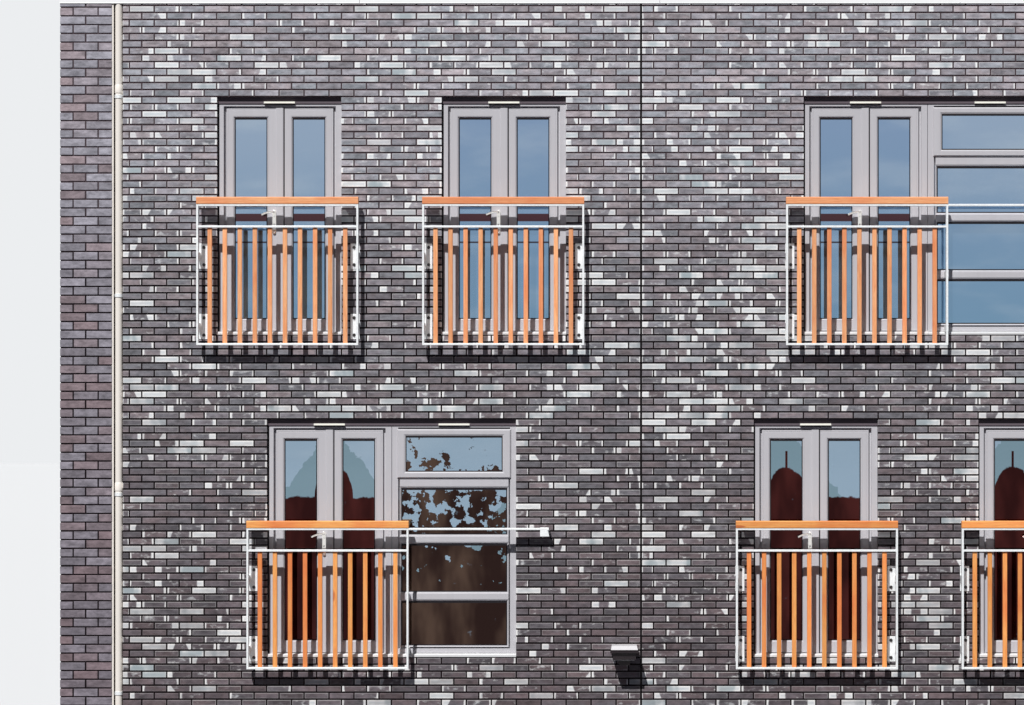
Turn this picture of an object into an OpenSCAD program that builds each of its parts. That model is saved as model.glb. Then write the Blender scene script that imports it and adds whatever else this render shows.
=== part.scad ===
// Three-storey brick apartment block with timber guard rails at its upper doors.
// X runs along the street front, Y runs into the building and Z is up.
// The origin is at ground level, in the middle of the plan.

/* [Brickwork] */
// Length of a brick with one upright joint
brick_pitch = 220; // [200:5:240]
// Height of a brick with one bed joint
course_h = 61.75; // [58:0.25:65]

/* [Storeys] */
// Courses below the ground storey's openings
plinth_courses = 2; // [1:1:4]
// Courses from one storey's sills to the next
storey_courses = 46; // [44:1:50]
// Courses in the height of an opening
opening_courses = 34; // [32:1:36]
// Courses from the top storey's window heads to the coping
parapet_courses = 14; // [12:1:18]
// Thickness of the upper floors and of the roof
slab_t = 250; // [200:10:300]
// Height of the parapet above the roof slab
roof_upstand = 333; // [250:1:400]

/* [Plan] */
// Width of the patterned front wall, counted in bricks
front_bricks = 43; // [43:1:47]
// Depth of the building from front face to rear face
building_depth = 9900; // [8000:100:12000]
// Thickness of the front and rear walls
wall_t = 350; // [300:10:400]
// Thickness of the plain side walls
side_wall_t = 450; // [350:10:500]
// Width of the slot that holds a downpipe
slot_w = 100; // [90:5:130]
// Depth of that slot
slot_d = 115; // [90:5:130]

/* [Openings] */
// Width of one window or pair of doors, counted in bricks
opening_bricks = 5; // [4.5:0.25:5.25]
// Middle of the outermost doors from the middle of the wall, counted in bricks
outer_doors_at = 15.25; // [15:0.25:16]
// Middle of the inner doors from the middle of the wall, counted in bricks
inner_doors_at = 6.25; // [6:0.25:6.75]
// Middle of the coupled doors and side window, counted in bricks
coupled_at = 10.75; // [10.5:0.25:11]
// How far the window frames sit behind the wall face
reveal = 35; // [25:5:110]

/* [Frames] */
// Width of a frame bar beside the doors
frame_w = 70; // [55:1:80]
// Depth of the frames from front to back
frame_d = 70; // [60:1:80]
// Height of the frame's top bar
frame_head_h = 31; // [18:1:40]
// Height of the bottom bar under a side window
frame_foot_h = 56; // [40:1:80]
// Height of the dark strip above each frame
head_strip_h = 58; // [50:1:90]
// Height of the sill under each frame
sill_h = 31; // [25:1:45]
// How far the sill stands in front of the frame
sill_nose = 47; // [20:1:80]
// Length of a trickle vent
vent_l = 275; // [200:5:350]
// Height of a trickle vent
vent_h = 17; // [15:1:25]
// How far a trickle vent stands out
vent_d = 18; // [10:1:30]
// Top of a trickle vent below the head of its opening
vent_drop = 41; // [20:1:60]

/* [Doors] */
// Width of the stile at a leaf's hinges
hinge_stile_w = 78; // [70:1:100]
// Width of the stile where the two leaves meet
meeting_stile_w = 110; // [90:1:120]
// Height of a leaf's top rail
top_rail_h = 88; // [70:1:110]
// Height of a leaf's bottom rail
bottom_rail_h = 112; // [90:1:140]
// Thickness of a leaf
leaf_t = 56; // [50:1:60]
// How far a leaf sits behind the front of its frame
leaf_back = 13; // [2:1:14]
// Gap round a leaf
leaf_gap = 2; // [1.5:0.5:4]
// Width of the strip that covers the gap between two leaves
cover_strip_w = 65; // [50:1:80]
// Thickness of that strip
cover_strip_t = 10; // [6:1:14]
// Thickness of the sealed glass
glass_t = 24; // [20:1:28]
// How far the glass sits behind the front of its leaf or bar
glass_back = 14; // [8:1:20]
// Height of the lever above the sill line
handle_z = 1085; // [950:5:1150]
// Height of a handle's back plate
handle_plate_h = 212; // [150:2:240]
// Width of a handle's back plate
handle_plate_w = 30; // [24:1:36]
// Length of the lever
lever_l = 118; // [100:1:140]
// Diameter of the lever
lever_dia = 19; // [14:1:24]

/* [Side windows] */
// Height of the lowest transom's underside above the sill line
low_transom_z = 504; // [450:1:560]
// Height of the middle transom's underside above the sill line
mid_transom_z = 1010; // [950:1:1060]
// Height of the transom under the top-hung sash
sash_transom_z = 1501; // [1450:1:1540]
// Height of the two lower transoms
transom_h = 57; // [45:1:70]
// Height of the transom under the sash
sash_transom_h = 74; // [60:1:90]
// How far the sash laps over the frame at its sides
sash_lap = 23; // [15:1:30]
// Width of the sash bars at the sides
sash_stile_w = 75; // [60:1:90]
// Height of the sash bars at top and bottom
sash_rail_h = 60; // [50:1:75]
// How far the sash stands in front of the frame
sash_t = 16; // [12:1:22]

/* [Guard rails] */
// How far the guard rail's frame runs past each side of an opening
guard_over = 160; // [120:5:200]
// Distance from the wall to the outer edge of the steel frame
guard_out = 130; // [100:5:160]
// Width of the steel flats, seen from the front
flat_w = 17; // [12:1:22]
// Depth of the steel flats, from front to back
flat_d = 50; // [40:1:60]
// Height of the timber handrail
handrail_h = 63; // [50:1:80]
// Depth of the timber handrail
handrail_d = 60; // [60:1:90]
// How far the handrail runs past each end of the steel frame
handrail_over = 0; // [0:1:25]
// Top of the handrail above the sill line
handrail_top = 1207; // [1100:1:1250]
// Distance from the top of the handrail to the top of the second rail
second_rail_drop = 252; // [220:1:300]
// How far the frame reaches below the sill line
guard_below = 93; // [85:1:150]
// Number of upright slats in a guard rail
slat_count = 10; // [8:1:10]
// Distance between the middles of two slats
slat_pitch = 132; // [120:1:142]
// Width of a slat
slat_w = 39; // [30:1:50]
// Thickness of a slat
slat_t = 22; // [18:1:35]
// Width of a wall plate
plate_w = 80; // [60:1:90]
// Height of a wall plate
plate_h = 223; // [180:1:250]
// Thickness of a wall plate
plate_t = 10; // [8:1:14]
// Top of the upper wall plates below the top of the handrail
upper_plate_drop = 401; // [340:1:450]
// Top of the lower wall plates below the top of the handrail
lower_plate_drop = 1021; // [960:1:1040]
// Height of the arm between a wall plate and the frame
arm_h = 60; // [40:1:90]
// How far a guard bar runs past the side window
guard_bar_over = 290; // [200:5:350]

/* [Coping and downpipes] */
// Thickness of the coping above the wall
coping_t = 33; // [25:1:50]
// How far the coping's edge hangs down over the wall
coping_drop = 42; // [20:1:60]
// How far the coping stands out from the wall
coping_over = 12; // [10:1:50]
// Thickness of the coping's hanging edge
coping_edge_t = 8; // [3:1:10]
// Outer diameter of a downpipe
pipe_dia = 65; // [55:1:75]
// Distance from the middle of a downpipe to the end of the patterned wall
pipe_at = 42; // [40:1:48]
// Distance from the wall face back to the middle of a downpipe
pipe_in = 25; // [15:1:45]
// Number of brackets on a downpipe
bracket_count = 5; // [3:1:8]
// Height of a pipe bracket
bracket_h = 30; // [20:1:50]
// Thickness of a pipe bracket's ring
bracket_t = 4; // [3:1:5]
// Width of the white strip beside each side wall
edge_strip_w = 16; // [10:1:17]
// Depth of that strip
edge_strip_d = 20; // [10:1:40]

/* [Wall lamp] */
// Middle of the lamp to the left of the middle of the wall
lamp_left = 313; // [200:1:450]
// Top of the lamp above the first floor's sill line
lamp_top = 114; // [60:1:200]
// Width of the lamp's hood along its lower edge
lamp_w = 247; // [200:1:300]
// Width of the lamp's hood along its top edge
lamp_top_w = 220; // [180:1:240]
// Height of the hood
lamp_h = 56; // [40:1:80]
// How far the hood stands out along its lower edge
lamp_out = 250; // [200:5:300]
// How far the hood stands out along its top edge
lamp_top_out = 150; // [100:5:190]
// Height of the lamp body under the hood
lamp_body_h = 70; // [50:1:110]
// How far the lamp body sits inside the hood's edge
lamp_inset = 24; // [15:1:40]
// Height of the lamp's wall plate below its body
lamp_plate_h = 60; // [30:1:90]

/* [Entrance] */
// Width of the entrance leaf's glazed panel
panel_w = 300; // [200:10:400]
// Height of the entrance leaf's glazed panel
panel_h = 1500; // [1200:10:1600]

/* [Hidden] */

top_storey = 2;
front_half = front_bricks * brick_pitch / 2;
total_half = front_half + slot_w + side_wall_t;
depth_half = building_depth / 2;
opening_w = opening_bricks * brick_pitch;
opening_h = opening_courses * course_h;
wall_top = (plinth_courses + top_storey * storey_courses + opening_courses + parapet_courses) * course_h;
roof_top = wall_top - roof_upstand;
room_half_x = front_half + slot_w;
room_half_y = depth_half - wall_t;

frame_top = opening_h - head_strip_h;
leaf_w = (opening_w - 2 * frame_w - 4 * leaf_gap) / 2;
leaf_h = frame_top - frame_head_h - sill_h - leaf_gap;
leaf_glass_w = leaf_w - hinge_stile_w - meeting_stile_w;
leaf_glass_h = leaf_h - top_rail_h - bottom_rail_h;
leaf_front = reveal + leaf_back;
handle_stand = 46;
handle_plate_t = 9;

pane_w = opening_w - 2 * frame_w;
sash_z = sash_transom_z + sash_transom_h;
sash_w = pane_w + 2 * sash_lap;
sash_h = frame_top - frame_head_h - sash_z;

entrance_leaf_w = pane_w - 2 * leaf_gap;
panel_z = sill_h + (leaf_h - panel_h) / 2;

guard_w = opening_w + 2 * guard_over;
guard_mid_y = flat_d / 2 - guard_out;
guard_top = handrail_top - handrail_h;
second_rail_top = handrail_top - second_rail_drop;
fit = 0.3;
facets = 48;

brick_grey = [0.27, 0.26, 0.29];
side_grey = [0.30, 0.29, 0.33];
concrete = [0.62, 0.61, 0.58];
frame_grey = [0.72, 0.70, 0.72];
steel = [0.80, 0.82, 0.83];
timber = [0.83, 0.45, 0.22];
white = [0.92, 0.92, 0.90];
cream = [0.90, 0.86, 0.74];
dark = [0.16, 0.13, 0.12];
glass_blue = [0.35, 0.45, 0.55, 0.6];

// Height of a storey's sill line, with the ground storey as 0
function sill_line(storey) = (plinth_courses + storey * storey_courses) * course_h;

// 1 where the coupled doors and window stand on the right, and -1 where they stand on the left
function side_of(storey) = storey % 2 == 0 ? 1 : -1;

// Middles of the side window and of the doors of one storey, from left to right
function side_window_x(storey) = (side_of(storey) * coupled_at + opening_bricks / 2) * brick_pitch;
function coupled_doors_x(storey) = (side_of(storey) * coupled_at - opening_bricks / 2) * brick_pitch;
function single_doors_x(storey) = [for (at = [outer_doors_at, inner_doors_at]) -side_of(storey) * at * brick_pitch];
function doors_x(storey) = concat(single_doors_x(storey), [coupled_doors_x(storey)]);

// Left and right edges of the holes in one storey's wall, from left to right
function single_hole(x) = [x - opening_w / 2, x + opening_w / 2];
function coupled_hole(storey) = [coupled_doors_x(storey) - opening_w / 2, side_window_x(storey) + opening_w / 2];
function holes(storey) = side_of(storey) > 0
    ? [single_hole(single_doors_x(storey)[0]), single_hole(single_doors_x(storey)[1]), coupled_hole(storey)]
    : [coupled_hole(storey), single_hole(single_doors_x(storey)[1]), single_hole(single_doors_x(storey)[0])];

// Edges of the wall stretches between the holes, from left to right
function stretches(gaps) = [for (i = [0 : len(gaps)])
    [i == 0 ? -front_half : gaps[i - 1][1], i == len(gaps) ? front_half : gaps[i][0]]];

// A box between two corners
module block(low, high) {
    translate(low) cube(high - low);
}

// A rectangular ring in the plane of the wall, from its lower left corner
module ring(width, height, thick, left, right, bottom, top) {
    difference() {
        cube([width, thick, height]);
        translate([left, -1, bottom]) cube([width - left - right, thick + 2, height - bottom - top]);
    }
}

// Places children on the front face, and turned round on the rear face
module on_both_faces() {
    for (turn = [0, 180]) rotate([0, 0, turn]) translate([0, -depth_half, 0]) children();
}

// Places children at every pair of doors from a given storey up, on both faces
module at_doors(lowest = 0) {
    on_both_faces() for (storey = [lowest : top_storey], x = doors_x(storey))
        translate([x, 0, sill_line(storey)]) children();
}

// Places children at every side window, on both faces
module at_side_windows() {
    on_both_faces() for (storey = [0 : top_storey])
        translate([side_window_x(storey), 0, sill_line(storey)]) children();
}

// Places children at the entrance
module at_entrance() {
    translate([0, -depth_half, sill_line(0)]) children();
}

// Places children at both leaves of a pair, the second one mirrored
module each_leaf() {
    for (side = [0, 1]) mirror([side, 0, 0]) translate([-opening_w / 2 + frame_w + leaf_gap, 0, sill_h]) children();
}

module floor_plate(bottom, top) {
    color(concrete) block([-room_half_x, -room_half_y, bottom], [room_half_x, room_half_y, top]);
}

module ground_slab() {
    floor_plate(0, sill_line(0));
}

module first_floor_slab() {
    floor_plate(sill_line(1) - slab_t, sill_line(1));
}

module second_floor_slab() {
    floor_plate(sill_line(2) - slab_t, sill_line(2));
}

module roof_slab() {
    floor_plate(roof_top - slab_t, roof_top);
}

// A plain side wall, whose end shows beside the patterned front
module side_wall() {
    color(side_grey) block([room_half_x, -depth_half, 0], [total_half, depth_half, wall_top]);
}

module left_wall() {
    mirror([1, 0, 0]) side_wall();
}

module right_wall() {
    side_wall();
}

// A stretch of patterned wall, measured from the wall face
module wall_stretch(left, right, bottom, top) {
    color(brick_grey) block([left, 0, bottom], [right, wall_t, top]);
}

// The full-width band of wall below one storey's sill line
module wall_band(storey) {
    wall_stretch(-front_half, front_half, storey == 0 ? 0 : sill_line(storey - 1) + opening_h, sill_line(storey));
}

module parapet() {
    wall_stretch(-front_half, front_half, sill_line(top_storey) + opening_h, wall_top);
}

// The piers between the holes of one storey
module wall_piers(storey, gaps) {
    for (edges = stretches(gaps))
        wall_stretch(edges[0], edges[1], sill_line(storey), sill_line(storey) + opening_h);
}

module on_front() {
    translate([0, -depth_half, 0]) children();
}

module on_rear() {
    rotate([0, 0, 180]) on_front() children();
}

module front_plinth() {
    on_front() wall_band(0);
}

// The ground storey's front also has the hole of the entrance
module front_piers_ground() {
    gaps = holes(0);
    on_front() wall_piers(0, [gaps[0], gaps[1], single_hole(0), gaps[2]]);
}

module front_band_first() {
    on_front() wall_band(1);
}

module front_piers_first() {
    on_front() wall_piers(1, holes(1));
}

module front_band_second() {
    on_front() wall_band(2);
}

module front_piers_second() {
    on_front() wall_piers(2, holes(2));
}

module front_parapet() {
    on_front() parapet();
}

module rear_bands() {
    on_rear() {
        for (storey = [0 : top_storey]) wall_band(storey);
        parapet();
    }
}

module rear_piers() {
    on_rear() for (storey = [0 : top_storey]) wall_piers(storey, holes(storey));
}

// The wall behind each downpipe, set back to leave its slot
module slot_backings() {
    color(brick_grey) on_both_faces() for (side = [0, 1]) mirror([side, 0, 0])
        block([front_half, slot_d, 0], [room_half_x, wall_t, wall_top]);
}

// Metal coping along the front and the rear, with its edge hanging at three sides
module long_copings() {
    gap = coping_over - coping_edge_t;
    color(white) on_both_faces() difference() {
        block([-total_half - coping_over, -coping_over, wall_top - coping_drop],
            [total_half + coping_over, wall_t + coping_over, wall_top + coping_t]);
        block([-total_half - gap, -gap, wall_top - coping_drop - 1],
            [total_half + gap, wall_t + coping_over + 1, wall_top]);
    }
}

// Metal coping along the sides, between the long ones
module side_copings() {
    gap = coping_over - coping_edge_t;
    run = room_half_y - coping_over;
    color(white) for (side = [0, 1]) mirror([side, 0, 0]) difference() {
        block([room_half_x - coping_over, -run, wall_top - coping_drop],
            [total_half + coping_over, run, wall_top + coping_t]);
        block([room_half_x - coping_over - 1, -run - 1, wall_top - coping_drop - 1],
            [total_half + gap, run + 1, wall_top]);
    }
}

// Places children at the axis of every downpipe
module at_pipes() {
    on_both_faces() for (side = [0, 1]) mirror([side, 0, 0])
        translate([front_half + pipe_at, pipe_in, 0]) children();
}

module downpipes() {
    color(white) at_pipes() cylinder(d = pipe_dia, h = wall_top, $fn = facets);
}

// Rings round the downpipes, each with a lug back to the wall of the slot
module pipe_brackets() {
    step = wall_top / bracket_count;
    ring_dia = pipe_dia + 2 * fit;
    color(steel) at_pipes() for (i = [0 : bracket_count - 1]) translate([0, 0, step * (i + 0.5)])
        difference() {
            union() {
                cylinder(d = ring_dia + 2 * bracket_t, h = bracket_h, $fn = facets);
                translate([-bracket_h / 2, 0, 0]) cube([bracket_h, slot_d - pipe_in, bracket_h]);
            }
            translate([0, 0, -1]) cylinder(d = ring_dia, h = bracket_h + 2, $fn = facets);
        }
}

module edge_strips() {
    color(white) on_both_faces() for (side = [0, 1]) mirror([side, 0, 0])
        block([room_half_x - edge_strip_w, 0, 0], [room_half_x, edge_strip_d, wall_top]);
}

// A lamp hood with a sloping front and sloping cheeks
module lamp_hood() {
    color(white) translate([-lamp_left, -depth_half, sill_line(1) + lamp_top - lamp_h]) intersection() {
        translate([lamp_w / 2, 0, 0]) rotate([90, 0, -90]) linear_extrude(lamp_w)
            polygon([[0, 0], [lamp_out, 0], [lamp_top_out, lamp_h], [0, lamp_h]]);
        rotate([90, 0, 0]) linear_extrude(lamp_out)
            polygon([[-lamp_w / 2, 0], [lamp_w / 2, 0], [lamp_top_w / 2, lamp_h], [-lamp_top_w / 2, lamp_h]]);
    }
}

// The lamp itself under the hood, with its wall plate
module lamp_body() {
    half = lamp_w / 2 - lamp_inset;
    top = lamp_top - lamp_h;
    color(dark) translate([-lamp_left, -depth_half, sill_line(1)]) union() {
        block([-half, lamp_inset - lamp_out, top - lamp_body_h], [half, 0, top]);
        block([-half / 2, -plate_t, top - lamp_body_h - lamp_plate_h], [half / 2, 0, top - lamp_body_h + 1]);
    }
}

// Both upright bars of one frame
module jamb_pair() {
    for (side = [0, 1]) mirror([side, 0, 0])
        block([-opening_w / 2, reveal, sill_h], [frame_w - opening_w / 2, reveal + frame_d, frame_top]);
}

module frame_jambs() {
    color(frame_grey) {
        at_doors() jamb_pair();
        at_side_windows() jamb_pair();
        at_entrance() jamb_pair();
    }
}

// A level bar between the two jambs of a frame
module cross_bar(bottom, height) {
    block([-pane_w / 2, reveal, bottom], [pane_w / 2, reveal + frame_d, bottom + height]);
}

module frame_rails() {
    color(frame_grey) {
        at_doors() cross_bar(frame_top - frame_head_h, frame_head_h);
        at_entrance() cross_bar(frame_top - frame_head_h, frame_head_h);
        at_side_windows() {
            cross_bar(frame_top - frame_head_h, frame_head_h);
            cross_bar(sill_h, frame_foot_h);
        }
    }
}

// The dark strip that fills the opening above a frame
module head_strip() {
    block([-opening_w / 2, reveal, frame_top], [opening_w / 2, reveal + frame_d, opening_h]);
}

module head_strips() {
    color(dark) {
        at_doors() head_strip();
        at_side_windows() head_strip();
        at_entrance() head_strip();
    }
}

module trickle_vent() {
    top = opening_h - vent_drop;
    block([-vent_l / 2, reveal - vent_d, top - vent_h], [vent_l / 2, reveal, top]);
}

module trickle_vents() {
    color(cream) {
        at_doors() trickle_vent();
        at_side_windows() trickle_vent();
    }
}

module sill() {
    block([-opening_w / 2, reveal - sill_nose, 0], [opening_w / 2, reveal + frame_d, sill_h]);
}

module sills() {
    color(frame_grey) {
        at_doors() sill();
        at_side_windows() sill();
        at_entrance() sill();
    }
}

module door_leaves() {
    color(frame_grey) at_doors() each_leaf() translate([0, leaf_front, 0])
        ring(leaf_w, leaf_h, leaf_t, hinge_stile_w, meeting_stile_w, bottom_rail_h, top_rail_h);
}

module door_glass() {
    color(glass_blue) at_doors() each_leaf()
        translate([hinge_stile_w, leaf_front + glass_back, bottom_rail_h])
            cube([leaf_glass_w, glass_t, leaf_glass_h]);
}

// The strip over the joint between the two leaves
module cover_strips() {
    color(frame_grey) at_doors()
        block([-cover_strip_w / 2, leaf_front - cover_strip_t, sill_h], [cover_strip_w / 2, leaf_front, sill_h + leaf_h]);
}

// A back plate with a lever that points away from the joint between the leaves
module lever_handle() {
    plate_x = -cover_strip_w / 2 - handle_plate_w / 2;
    plate_low = handle_z + lever_dia - handle_plate_h;
    front = leaf_front - handle_plate_t;
    translate([plate_x, 0, 0]) {
        block([-handle_plate_w / 2, front, plate_low], [handle_plate_w / 2, leaf_front, plate_low + handle_plate_h]);
        translate([0, front + 1, handle_z]) rotate([90, 0, 0]) cylinder(d = lever_dia, h = handle_stand, $fn = facets);
        translate([lever_dia / 2 - lever_l, front - handle_stand + lever_dia / 2, handle_z]) rotate([0, 90, 0])
            cylinder(d = lever_dia, h = lever_l, $fn = facets);
    }
}

module door_handles() {
    color(cream) {
        at_doors() lever_handle();
        at_entrance() translate([pane_w / 2 - frame_w / 2, 0, 0]) lever_handle();
    }
}

// The top-hung sash, lapping over the front of its frame
module vent_sashes() {
    color(frame_grey) at_side_windows() translate([-sash_w / 2, reveal - sash_t, sash_z])
        ring(sash_w, sash_h, sash_t, sash_stile_w, sash_stile_w, sash_rail_h, sash_rail_h);
}

module vent_glass() {
    half = sash_w / 2 - sash_stile_w;
    color(glass_blue) at_side_windows()
        block([-half, reveal - sash_t / 2, sash_z + sash_rail_h],
            [half, reveal - sash_t / 2 + glass_t, sash_z + sash_h - sash_rail_h]);
}

module transoms() {
    color(frame_grey) at_side_windows() {
        cross_bar(low_transom_z, transom_h);
        cross_bar(mid_transom_z, transom_h);
        cross_bar(sash_transom_z, sash_transom_h);
    }
}

// One fixed pane between two level bars
module fixed_pane(bottom, top) {
    block([-pane_w / 2, reveal + glass_back, bottom], [pane_w / 2, reveal + glass_back + glass_t, top]);
}

module side_glass() {
    color(glass_blue) at_side_windows() {
        fixed_pane(sill_h + frame_foot_h, low_transom_z);
        fixed_pane(low_transom_z + transom_h, mid_transom_z);
        fixed_pane(mid_transom_z + transom_h, sash_transom_z);
    }
}

module entrance_leaf() {
    beside = (entrance_leaf_w - panel_w) / 2;
    above = (leaf_h - panel_h) / 2;
    color(dark) at_entrance() translate([-entrance_leaf_w / 2, leaf_front, sill_h])
        ring(entrance_leaf_w, leaf_h, leaf_t, beside, beside, above, above);
}

module entrance_glass() {
    color(glass_blue) at_entrance()
        block([-panel_w / 2, leaf_front + glass_back, panel_z],
            [panel_w / 2, leaf_front + glass_back + glass_t, panel_z + panel_h]);
}

// One level flat of a guard rail, between its two posts
module guard_flat(top) {
    block([-guard_w / 2 + flat_w, -guard_out, top - flat_w], [guard_w / 2 - flat_w, flat_d - guard_out, top]);
}

module guard_posts() {
    color(steel) at_doors(1) for (side = [0, 1]) mirror([side, 0, 0])
        block([-guard_w / 2, -guard_out, -guard_below], [flat_w - guard_w / 2, flat_d - guard_out, guard_top]);
}

module guard_flats() {
    color(steel) at_doors(1) for (top = [guard_top, second_rail_top, flat_w - guard_below]) guard_flat(top);
}

module guard_slats() {
    low = flat_w - guard_below;
    high = second_rail_top - flat_w;
    color(timber) at_doors(1) for (i = [0 : slat_count - 1])
        translate([(i - (slat_count - 1) / 2) * slat_pitch, guard_mid_y, 0])
            block([-slat_w / 2, -slat_t / 2, low], [slat_w / 2, slat_t / 2, high]);
}

module handrails() {
    half = guard_w / 2 + handrail_over;
    color(timber) at_doors(1)
        block([-half, guard_mid_y - handrail_d / 2, guard_top], [half, guard_mid_y + handrail_d / 2, handrail_top]);
}

// A wall plate and the arm that carries the frame's post
module guard_bracket(top) {
    outer = guard_w / 2;
    middle = top - plate_h / 2;
    block([outer - plate_w, -plate_t, top - plate_h], [outer, 0, top]);
    block([outer - flat_w, flat_d - guard_out, middle - arm_h / 2], [outer, -plate_t / 2, middle + arm_h / 2]);
}

// The arms that carry a post in front of a side window, fixed to the window's bars
module window_arms() {
    post = guard_w / 2 - opening_w;
    for (bar = [[sill_h, frame_foot_h], [low_transom_z, transom_h]])
        block([post - flat_w, flat_d - guard_out, bar[0]], [post, reveal, bar[0] + bar[1]]);
}

module guard_brackets() {
    color(steel) on_both_faces() for (storey = [1 : top_storey]) {
        for (x = doors_x(storey), side = [0, 1], drop = [upper_plate_drop, lower_plate_drop])
            if (side == 1 || x != coupled_doors_x(storey))
                translate([x, 0, sill_line(storey)]) mirror([side, 0, 0]) guard_bracket(handrail_top - drop);
        translate([side_window_x(storey), 0, sill_line(storey)]) window_arms();
    }
}

// Places children at the side windows above the ground storey
module at_guard_bars() {
    on_both_faces() for (storey = [1 : top_storey])
        translate([side_window_x(storey), 0, sill_line(storey)]) children();
}

// A flat that runs on from the guard rail across the side window
module guard_bars() {
    start = guard_w / 2 - opening_w;
    end = opening_w / 2 + guard_bar_over;
    color(steel) at_guard_bars()
        block([start, -guard_out, guard_top - flat_w], [end, flat_d - guard_out, guard_top]);
}

// The end of that flat, turned back to a plate on the wall
module guard_bar_ends() {
    end = opening_w / 2 + guard_bar_over;
    color(steel) at_guard_bars() union() {
        block([end - flat_w, flat_d - guard_out, guard_top - flat_w], [end, -plate_t / 2, guard_top]);
        block([end - plate_w, -plate_t, guard_top - plate_w], [end, 0, guard_top]);
    }
}

ground_slab();
first_floor_slab();
second_floor_slab();
roof_slab();
left_wall();
right_wall();
front_plinth();
front_piers_ground();
front_band_first();
front_piers_first();
front_band_second();
front_piers_second();
front_parapet();
rear_bands();
rear_piers();
slot_backings();
long_copings();
side_copings();
downpipes();
pipe_brackets();
edge_strips();
lamp_hood();
lamp_body();
frame_jambs();
frame_rails();
head_strips();
trickle_vents();
sills();
door_leaves();
door_glass();
cover_strips();
door_handles();
vent_sashes();
vent_glass();
transoms();
side_glass();
entrance_leaf();
entrance_glass();
guard_posts();
guard_flats();
guard_slats();
handrails();
guard_brackets();
guard_bars();
guard_bar_ends();
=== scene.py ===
# %% [markdown]
# # A brick apartment block with timber guard rails
# This notebook dresses a building that already exists as plain solids: walls, slabs, frames and
# rails at their real size. Each cell adds one finish or one kind of detail. Everything is in
# metres, X runs along the street front, Y into the building and Z is up.

# %% Load the frame
import bpy
import bmesh
import math
import numpy as np
from mathutils import Matrix, Vector, noise


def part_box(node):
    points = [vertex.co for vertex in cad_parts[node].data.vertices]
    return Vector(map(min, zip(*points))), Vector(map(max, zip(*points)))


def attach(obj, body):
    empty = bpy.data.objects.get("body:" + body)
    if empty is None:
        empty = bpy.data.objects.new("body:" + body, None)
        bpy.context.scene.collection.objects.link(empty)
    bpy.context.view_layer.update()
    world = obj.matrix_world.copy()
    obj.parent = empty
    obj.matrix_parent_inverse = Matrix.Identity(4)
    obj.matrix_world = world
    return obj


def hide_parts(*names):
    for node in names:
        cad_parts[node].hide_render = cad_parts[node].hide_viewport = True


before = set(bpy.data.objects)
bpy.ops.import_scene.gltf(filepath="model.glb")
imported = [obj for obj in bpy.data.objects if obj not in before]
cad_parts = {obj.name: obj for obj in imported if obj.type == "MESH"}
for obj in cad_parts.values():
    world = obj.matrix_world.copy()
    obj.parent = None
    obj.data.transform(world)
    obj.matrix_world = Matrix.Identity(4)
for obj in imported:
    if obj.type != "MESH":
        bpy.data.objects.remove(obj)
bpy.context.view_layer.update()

# %% [markdown]
# ## Reading sizes from the solids
# Many nodes hold several separate solids, such as all the cover strips of all the doors. A short
# flood fill over the shared corners splits a node into its solids, and the box of each one tells
# where it is. Everything below takes its size and place from such boxes, so that it fits.

# %% Boxes of the separate solids
known_solids = {}


def solids(node):
    """Lowest and highest corner of each separate solid in a node, worked out once."""
    if node not in known_solids:
        known_solids[node] = flood(node)
    return known_solids[node]


def flood(node):
    """Follows the edges from each corner not seen yet, which gathers one solid at a time."""
    bm = bmesh.new()
    bm.from_mesh(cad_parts[node].data)
    bmesh.ops.remove_doubles(bm, verts=bm.verts, dist=1e-5)
    seen, boxes = set(), []
    for start in bm.verts:
        if start in seen:
            continue
        seen.add(start)
        group = [start]
        for vert in group:
            for edge in vert.link_edges:
                other = edge.other_vert(vert)
                if other not in seen:
                    seen.add(other)
                    group.append(other)
        corners = np.array([vert.co for vert in group])
        boxes.append((Vector(corners.min(0)), Vector(corners.max(0))))
    bm.free()
    return boxes


wall_low, wall_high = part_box("front_parapet")
side_low, side_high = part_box("right_wall")
FACE = -wall_low.y
FRONT_HALF = wall_high.x
WALL_TOP = wall_high.z
WALL_T = wall_high.y - wall_low.y
print("wall face at", round(FACE, 3), "wall top", round(WALL_TOP, 3))

# %% [markdown]
# ## Windows and doors as units
# The same pieces come back at every window and door. A unit holds one place on the wall face, at the
# sill line, and the turn of that wall. What is drawn for one unit then fits all of them.

# %% Units
UNIT_REACH, UNIT_FOOT, UNIT_HEAD = 0.9, -0.3, 2.3
sill_boxes = solids("sills")


def ordered(a, b):
    """The lowest and highest corner of a box that is given by any two opposite corners."""
    return Vector(map(min, a, b)), Vector(map(max, a, b))


class Unit:
    """A place on the front or rear wall face, and the turn of that face."""

    def __init__(self, low, high, sill):
        in_front = low.y < 0
        self.turn = 0.0 if in_front else math.pi
        self.place = Vector(((low.x + high.x) / 2, -FACE if in_front else FACE, sill))

    def inside(self, low, high):
        """A box of the building, as seen from this unit."""
        back = Matrix.Rotation(-self.turn, 3, "Z")
        return ordered(back @ (low - self.place), back @ (high - self.place))

    def outside(self, point):
        """A point of this unit, as a point of the building."""
        return Matrix.Rotation(self.turn, 3, "Z") @ point + self.place


def sill_line(low, high):
    """Height of the sill under a piece of a window."""
    middle = (low + high) / 2
    return max(a.z for a, b in sill_boxes if a.x < middle.x < b.x and a.z < middle.z and a.y * low.y > 0)


def units_at(node):
    """One unit for each solid of a node."""
    return [Unit(low, high, sill_line(low, high)) for low, high in solids(node)]


def parts(node, unit, reach=UNIT_REACH):
    """Boxes of a node's solids that belong to one unit, measured from that unit."""
    found = []
    for low, high in solids(node):
        low, high = unit.inside(low, high)
        middle = (low + high) / 2
        if abs(middle.x) < reach and abs(middle.y) < 1 and UNIT_FOOT < middle.z < UNIT_HEAD:
            found.append((low, high))
    return sorted(found, key=lambda box: (box[0].x, box[0].z))


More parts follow.
